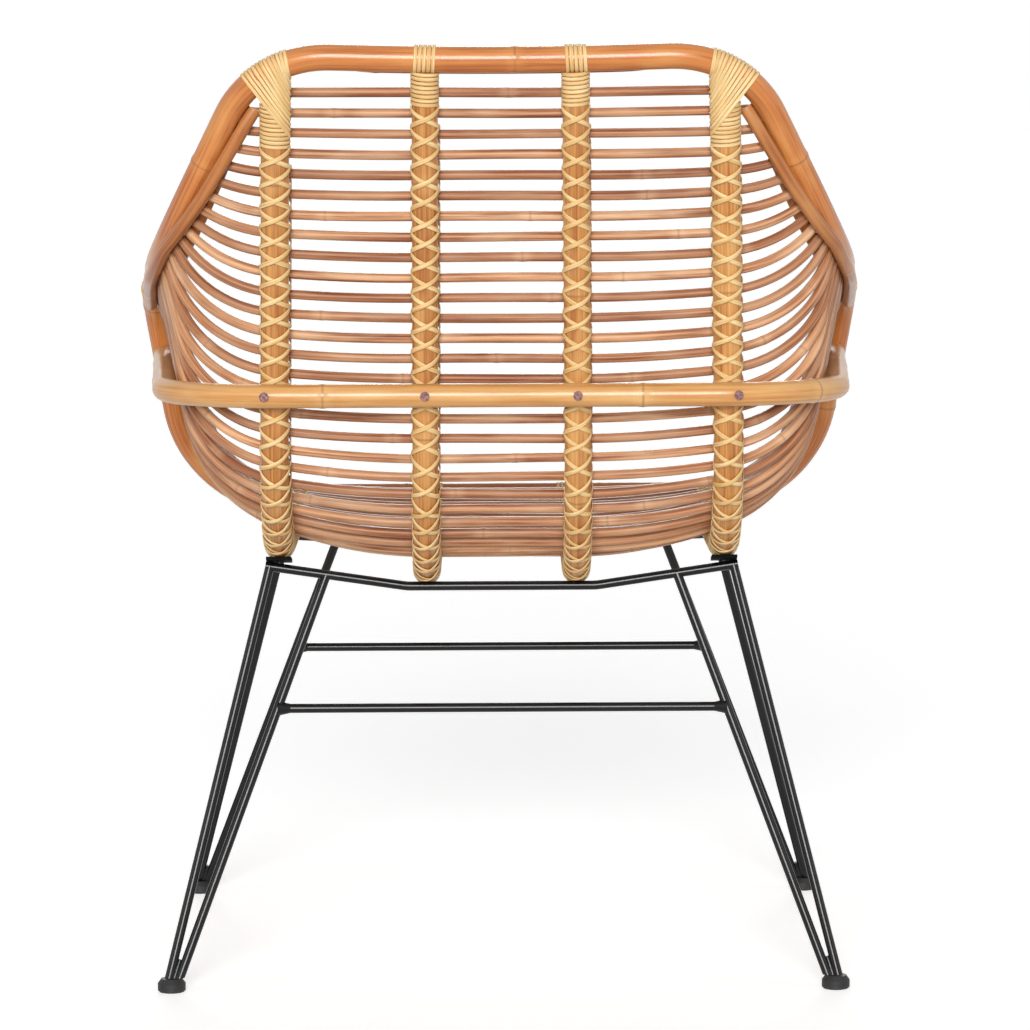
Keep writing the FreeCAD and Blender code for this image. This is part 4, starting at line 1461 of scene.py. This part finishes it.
@dataclass
class CloseBindings:
    """Close turns of peel at the shoulders, the top, the arm joints, the hoop ends and the seat front."""

    basket: Basket
    width: float = 0.0030
    thickness: float = 0.0009
    pitch: float = 0.0036
    shoulder_strips: int = 12
    shoulder_rail: Pair = (0.174, 0.212)
    shoulder_rib: Pair = (0.003, 0.050)
    shoulder_rib_turns: Pair = (0.024, 0.0591)
    rail_near: Pair = (0.12, 0.30)
    rib_near: Pair = (0.0, 0.098)
    stick_near: Pair = (0.6, 0.996)
    sticks_near: int = 4
    sample_step: float = 0.002
    stick_step: float = 0.004
    taut_samples: int = 18
    taut_steps: int = 3
    top_turns: int = 5
    top_pitch: float = 0.0037
    top_rib_turns: Pair = (-0.0032, 0.0247)
    joint_turns: int = 9
    hoop_end_turns: int = 4
    front_turns: int = 5
    points_per_turn: int = 36
    seed: int = 53

    def build(self, workshop: Workshop) -> None:
        """Make the four binding pieces.

        Args:
            workshop: makes the pieces.
        """
        self.chance = random.Random(self.seed)
        pieces = {
            "shoulder_bindings": self.shoulder(),
            "top_bindings": self.top(),
            "arm_bindings": self.arm(),
            "seat_front_bindings": self.seat_front(),
        }
        for name, strands in pieces.items():
            both = strands + [strand.mirrored() for strand in strands]
            workshop.make_peel(name, both, self.width, self.thickness)

    def wind(self, axis: Path, side: Callable[[float], Vector], loop: Loop, start: float, pitch: float,
             turns: float) -> Strand:
        """Wind a strip round an axis.

        Args:
            axis: the axis.
            side: gives the loop's first axis at a length along the axis.
            loop: gives a place and outward direction, as two numbers each, at a share of a turn.
            start: length along the axis where the strip starts.
            pitch: advance for each turn.
            turns: number of turns.

        Returns:
            The strip.
        """
        strand = Strand([], self.chance.random())
        for k in range(math.ceil(turns * self.points_per_turn) + 1):
            turn = k / self.points_per_turn
            along = start + pitch * turn
            centre, forward = axis.station(along)
            first = square_to(side(along), forward)
            second = forward.cross(first)
            place, outward = loop(turn % 1.0)
            strand.points.append(centre + first * place.x + second * place.y)
            strand.outward.append(first * outward.x + second * outward.y)
        return strand

    def wrap(self, axis: Path, radius: float, start: float, turns: float) -> Strand:
        """Wind close turns round a single cane."""
        return self.wind(axis, lambda length: X_AXIS, self.round_loop(radius), start, self.pitch, turns)

    def round_loop(self, radius: float) -> Loop:
        """Make one turn round a single cane.

        Args:
            radius: the cane's radius.

        Returns:
            The turn.
        """
        def loop(share: float) -> Station:
            """The place and outward direction at a share of the turn."""
            outward = compass(math.tau * share)
            return outward * (radius + self.thickness / 2), outward
        return loop

    def belt_loop(self) -> Loop:
        """Make one turn round a rail and the pole beside it, which lies along the first axis.

        Returns:
            The turn, which starts in the middle of the pole's outer side.
        """
        apart = self.basket.pole_apart
        big = self.basket.rail_r + self.thickness / 2
        small = self.basket.pole_r + self.thickness / 2
        corner = math.pi / 2 - math.asin((big - small) / apart)
        run = math.sqrt(apart**2 - (big - small) ** 2)
        pole = X_AXIS * apart
        on_pole = small * corner
        on_rail = 2 * big * (math.pi - corner)
        whole = 2 * (on_pole + run) + on_rail

        def loop(share: float) -> Station:
            """Go round the pole's first half, over to the rail, round it and back.

            Args:
                share: share of the turn.

            Returns:
                The place and outward direction there.
            """
            travelled = share * whole
            if travelled < on_pole or travelled > whole - on_pole:
                outward = compass((travelled if travelled < on_pole else travelled - whole) / small)
                return pole + outward * small, outward
            travelled -= on_pole
            if run <= travelled <= run + on_rail:
                outward = compass(corner + (travelled - run) / big)
                return outward * big, outward
            first_run = travelled < run
            outward = compass(corner if first_run else -corner)
            from_rail = 1 - travelled / run if first_run else (travelled - run - on_rail) / run
            return (outward * big).lerp(pole + outward * small, from_rail), outward
        return loop

    def shoulder_canes(self) -> tuple[Canes, Canes]:
        """Gather the axis points and radii of the canes that the shoulder strips lie on.

        Returns:
            The canes under the strips behind, and those under the strips in front.
        """
        basket = self.basket
        rib = basket.outer_rib
        start, end = self.rail_near
        rail = sampled(basket.rail, (basket.rail_half + start, basket.rail_half + end), self.sample_step)
        pole = [p for p in basket.inner_pole().points if start < p.x < end]
        rib_axis = sampled(rib.axis, self.rib_near, self.sample_step)
        behind = [(rail, basket.rail_r), (rib_axis, rib.radius + self.thickness)]
        before = behind + [(pole, basket.pole_r)]
        for index in range(self.sticks_near):
            path = basket.stick_path(index)
            ends = (path.length * self.stick_near[0], path.length * self.stick_near[1])
            before.append((sampled(path, ends, path.length * self.stick_step), basket.stick_r))
        return behind, before

    def shoulder(self) -> list[Strand]:
        """Bind the outer rib to the rail's corner.

        Returns:
            The slanting strips from the rail to the rib as one strand, and the turns round the rib.
        """
        rib = self.basket.outer_rib
        behind, before = self.shoulder_canes()
        strand = Strand([], self.chance.random())
        steps = self.shoulder_strips - 1
        for k in range(self.shoulder_strips):
            low = rib.axis.station(lerp(self.shoulder_rib, k / steps))[0]
            low = low - X_AXIS * (rib.radius + self.thickness / 2)
            self.lay_taut(strand, self.rail_edge(k / steps), (low, -X_AXIS), behind, -1)
            if k < steps:
                self.lay_taut(strand, (low, -X_AXIS), self.rail_edge((k + 1) / steps), before, 1)
        start, end = self.shoulder_rib_turns
        return [strand, self.wrap(rib.axis, rib.radius, start, (end - start) / self.pitch)]

    def rail_edge(self, share: float) -> Station:
        """Find where a shoulder strip turns round the rail's outer edge.

        Args:
            share: 0 for the first strip, 1 for the last.

        Returns:
            The place and the direction outward there.
        """
        centre, along = self.basket.right_rail(lerp(self.shoulder_rail, share))
        out = square_to(REAR, along).cross(along)
        return centre + out * (self.basket.rail_r + self.thickness / 2), out

    def lay_taut(self, strand: Strand, start: Station, end: Station, canes: Canes, side: int) -> None:
        """Lay a strip tight across canes between two edges.

        Args:
            strand: the strip that is made longer.
            start: the first place, and the direction outward there.
            end: the last place, and the direction outward there.
            canes: the axis points and radius of each cane underneath.
            side: -1 behind the canes, 1 in front of them.
        """
        points = smooth_through(self.taut_corners(start[0], end[0], canes, side), self.taut_steps)
        first = len(strand.points)
        strand.points += points
        strand.outward += [square_to(REAR * -side, along) for along in ways_along(points)]
        for place, outward in ((first, start[1]), (-1, end[1])):
            strand.outward[place] = (strand.outward[place] + outward).normalized()

    def taut_corners(self, start: Vector, end: Vector, canes: Canes, side: int) -> list[Vector]:
        """Find where a tight strip bends as it crosses canes.

        Args:
            start: the first place.
            end: the last place.
            canes: the axis points and radius of each cane underneath.
            side: -1 behind the canes, 1 in front of them.

        Returns:
            The two places and the bends between them.
        """
        hull: list[Pair] = []
        count = self.taut_samples
        for k in range(count + 1):
            share = (1.0 - math.cos(math.pi * k / count)) / 2
            place = start.lerp(end, share)
            depths = [place.y * side] if k in (0, count) else []
            for axis, radius in canes:
                nearest = min(axis, key=lambda p: (p.x - place.x) ** 2 + (p.z - place.z) ** 2)
                away = math.hypot(nearest.x - place.x, nearest.z - place.z)
                reach = radius + self.thickness / 2
                if away < reach:
                    depths.append(nearest.y * side + math.sqrt(reach**2 - away**2))
            if depths:
                sample = (share, max(depths))
                while len(hull) > 1 and turn_of(hull[-2], hull[-1], sample) >= 0.0:
                    hull.pop()
                hull.append(sample)
        return [Vector((*start.lerp(end, share).xz, depth * side)).xzy for share, depth in hull]

    def top(self) -> list[Strand]:
        """Bind the inner rib to the top rail.

        Returns:
            The turns over the rail, and those round the rib below them.
        """
        basket = self.basket
        start = basket.rail_half + basket.inner_rib_top_x - self.top_turns * self.top_pitch / 2

        def side(length: float) -> Vector:
            """The direction to the inner pole."""
            return basket.inner_pole_side(length - basket.rail_half)

        over = self.wind(basket.rail, side, self.belt_loop(), start, self.top_pitch, self.top_turns)
        rib = basket.inner_rib
        start, end = self.top_rib_turns
        return [over, self.wrap(rib.axis, rib.radius, start, (end - start) / self.pitch)]

    def arm(self) -> list[Strand]:
        """Bind the arm joint, and the front pole to the upright under the hoop's end.

        Returns:
            The turns of both.
        """
        basket = self.basket
        lead = self.joint_turns * self.pitch
        axis = BentPath([basket.arm_joint - basket.arm_way * lead, basket.arm_bend], [])
        joint = self.wrap(axis, basket.rail_r, lead / 2, self.joint_turns)
        upright = basket.upright_at(basket.hoop_z - basket.hoop_r - self.width / 2)
        axis = BentPath([upright, basket.front_corner], [])
        below = self.wind(axis, lambda length: basket.front_side(upright), self.belt_loop(),
                          0.0, self.pitch, self.hoop_end_turns)
        return [joint, below]

    def seat_front(self) -> list[Strand]:
        """Bind the front pole to the front rail beside each rib.

        Returns:
            The turns beside the inner rib and those beside the outer rib.
        """
        basket = self.basket
        corner = Vector((0.0, basket.front_corner.y, basket.front_corner.z))
        strands = []
        for x in (basket.inner_rib_x, basket.outer_rib_x - self.front_turns * self.pitch / 2):
            start = basket.front_half + x - self.front_turns * self.pitch / 2
            strands.append(self.wind(basket.front, lambda length: basket.front_side(corner), self.belt_loop(),
                                     start, self.pitch, self.front_turns))
        return strands


def compass(angle: float) -> Vector:
    """The unit direction at an angle in the plane of a turn."""
    return Vector((math.cos(angle), math.sin(angle), 0.0))


def turn_of(first: Pair, second: Pair, third: Pair) -> float:
    """Above zero where three points in a plane turn left."""
    return (second[0] - first[0]) * (third[1] - first[1]) - (second[1] - first[1]) * (third[0] - first[0])


@dataclass
class RodBase:
    """The welded rod base, its glides and its fastenings, kept as built and painted."""

    words: tuple[tuple[str, Finish], ...] = (
        ("crossbar", Finish.ROD), ("side_bar", Finish.ROD), ("leg", Finish.ROD), ("stretcher", Finish.ROD),
        ("mounting_plates", Finish.PLATE), ("glide", Finish.GLIDE), ("plate_screws", Finish.SCREW),
        ("hoop_nails", Finish.NAIL))

    def dress(self, workshop: Workshop) -> None:
        """Paint every node whose name holds one of the words.

        Args:
            workshop: holds the paints.
        """
        for name in sorted(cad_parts):
            for word, finish in self.words:
                if word in name:
                    workshop.paint_node(name, finish)


# Studio


@dataclass
class Studio:
    """A pale floor, soft light and the camera behind the chair."""

    eye: Triple = (-0.0129, -4.1118, 0.8023)
    pitch_down: float = 5.754
    yaw_right: float = 0.355
    roll: float = -0.244
    focal_pixels: float = 4611.7
    image_pixels: float = 1030.0
    sensor: float = 36.0
    floor_half: float = 40.0
    floor_colour: Colour = (0.92, 0.92, 0.92)
    floor_glow: float = 0.50
    ambient: float = 0.16
    sun_width: float = 24.0
    rear_strength: float = 2.9
    rear_height: float = 15.0
    rear_turn: float = 3.0
    front_strength: float = 0.8
    front_height: float = 25.0
    front_turn: float = 180.0
    left_strip: Triple = (-3.0, -1.6, 1.6)
    right_strip: Triple = (3.0, -1.2, 1.6)
    strip_aim: Triple = (0.0, 0.0, 0.45)
    strip_size: Pair = (0.4, 2.4)
    strip_power: float = 9.0
    view_end: float = 50.0

    def build(self) -> None:
        """Set the view, the world, the floor, the lamps and the camera."""
        bpy.context.scene.view_settings.view_transform = "Standard"
        self.add_world()
        self.add_floor()
        self.add_sun("rear_light", self.rear_strength, self.rear_height, self.rear_turn)
        self.add_sun("front_light", self.front_strength, self.front_height, self.front_turn)
        self.add_strip("left_strip", self.left_strip)
        self.add_strip("right_strip", self.right_strip)
        self.add_camera()

    def add_world(self) -> None:
        """A world that is white to look at and dimmer as light."""
        world = bpy.data.worlds.new("studio")
        world.use_nodes = True
        graph = Graph(world.node_tree)
        graph.tree.nodes.clear()
        strength = seen_directly(graph).ramp(0.0, 1.0, self.ambient, 1.0)
        inputs = {"Color": (1.0, 1.0, 1.0, 1.0), "Strength": strength}
        light = graph.make("ShaderNodeBackground", None, inputs)
        graph.make("ShaderNodeOutputWorld", None, {"Surface": light.outputs[0]})
        bpy.context.scene.world = world

    def add_floor(self) -> None:
        """A wide white floor that keeps the chair's shadow."""
        half = self.floor_half
        mesh = bpy.data.meshes.new("floor")
        corners = [(-half, -half, 0.0), (half, -half, 0.0), (half, half, 0.0), (-half, half, 0.0)]
        mesh.from_pydata(corners, [], [(0, 1, 2, 3)])
        floor = put_in_scene("floor", mesh)
        graph = ShaderGraph("studio_floor")
        glow = graph.mix(seen_directly(graph), (0.0, 0.0, 0.0), (self.floor_glow,) * 3)
        mesh.materials.append(graph.surface({
            "Base Color": (*self.floor_colour, 1.0),
            "Roughness": 0.9,
            "Specular IOR Level": 0.1,
            "Emission Color": glow,
            "Emission Strength": 1.0,
        }))

    def add_sun(self, name: str, strength: float, height: float, turn: float) -> None:
        """Add a broad soft light.

        Args:
            name: the lamp's name.
            strength: its strength.
            height: degrees above the floor.
            turn: degrees round the chair from the camera.
        """
        lamp = bpy.data.lights.new(name, "SUN")
        lamp.energy = strength
        lamp.angle = math.radians(self.sun_width)
        stand = put_in_scene(name, lamp)
        stand.rotation_euler = (math.radians(90.0 - height), 0.0, -math.radians(turn))

    def add_strip(self, name: str, place: Triple) -> None:
        """Add a tall soft box that faces the chair.

        Args:
            name: the lamp's name.
            place: where it hangs.
        """
        lamp = bpy.data.lights.new(name, "AREA")
        lamp.shape = "RECTANGLE"
        lamp.size, lamp.size_y = self.strip_size
        lamp.energy = self.strip_power
        stand = put_in_scene(name, lamp)
        stand.location = place
        stand.rotation_euler = (Vector(self.strip_aim) - Vector(place)).to_track_quat("-Z", "Y").to_euler()

    def add_camera(self) -> None:
        """A long lens behind the chair, level with the top of its back."""
        lens = bpy.data.cameras.new("camera")
        lens.sensor_width = self.sensor
        lens.lens = self.focal_pixels / self.image_pixels * self.sensor
        lens.clip_end = self.view_end
        camera = put_in_scene("camera", lens)
        turned = Matrix.Rotation(-math.radians(self.yaw_right), 4, "Z")
        tipped = Matrix.Rotation(math.radians(90.0 - self.pitch_down), 4, "X")
        rolled = Matrix.Rotation(math.radians(self.roll), 4, "Z")
        camera.matrix_world = Matrix.Translation(self.eye) @ turned @ tipped @ rolled
        bpy.context.scene.camera = camera


def seen_directly(graph: Graph) -> Flow:
    """Tell the rays that show the backdrop from those that only carry its light.

    Args:
        graph: the tree of the world or the floor.

    Returns:
        1 for camera, glossy and transmission rays, and 0 for others.
    """
    rays = graph.make("ShaderNodeLightPath")
    kinds = ("Camera", "Glossy", "Transmission")
    camera, glossy, through = (Flow(graph, rays.outputs[f"Is {kind} Ray"]) for kind in kinds)
    return camera + glossy + through


def main() -> None:
    """Build and dress the chair, then the studio."""
    logging.basicConfig(level=logging.INFO, format="%(message)s")
    workshop = Workshop()
    basket = Basket()
    RailsAndPoles(basket).build(workshop)
    CrossSticks(basket).build(workshop)
    RibLashings(basket).build(workshop)
    CloseBindings(basket).build(workshop)
    RodBase().dress(workshop)
    Studio().build()


if __name__ == "__main__":
    main()
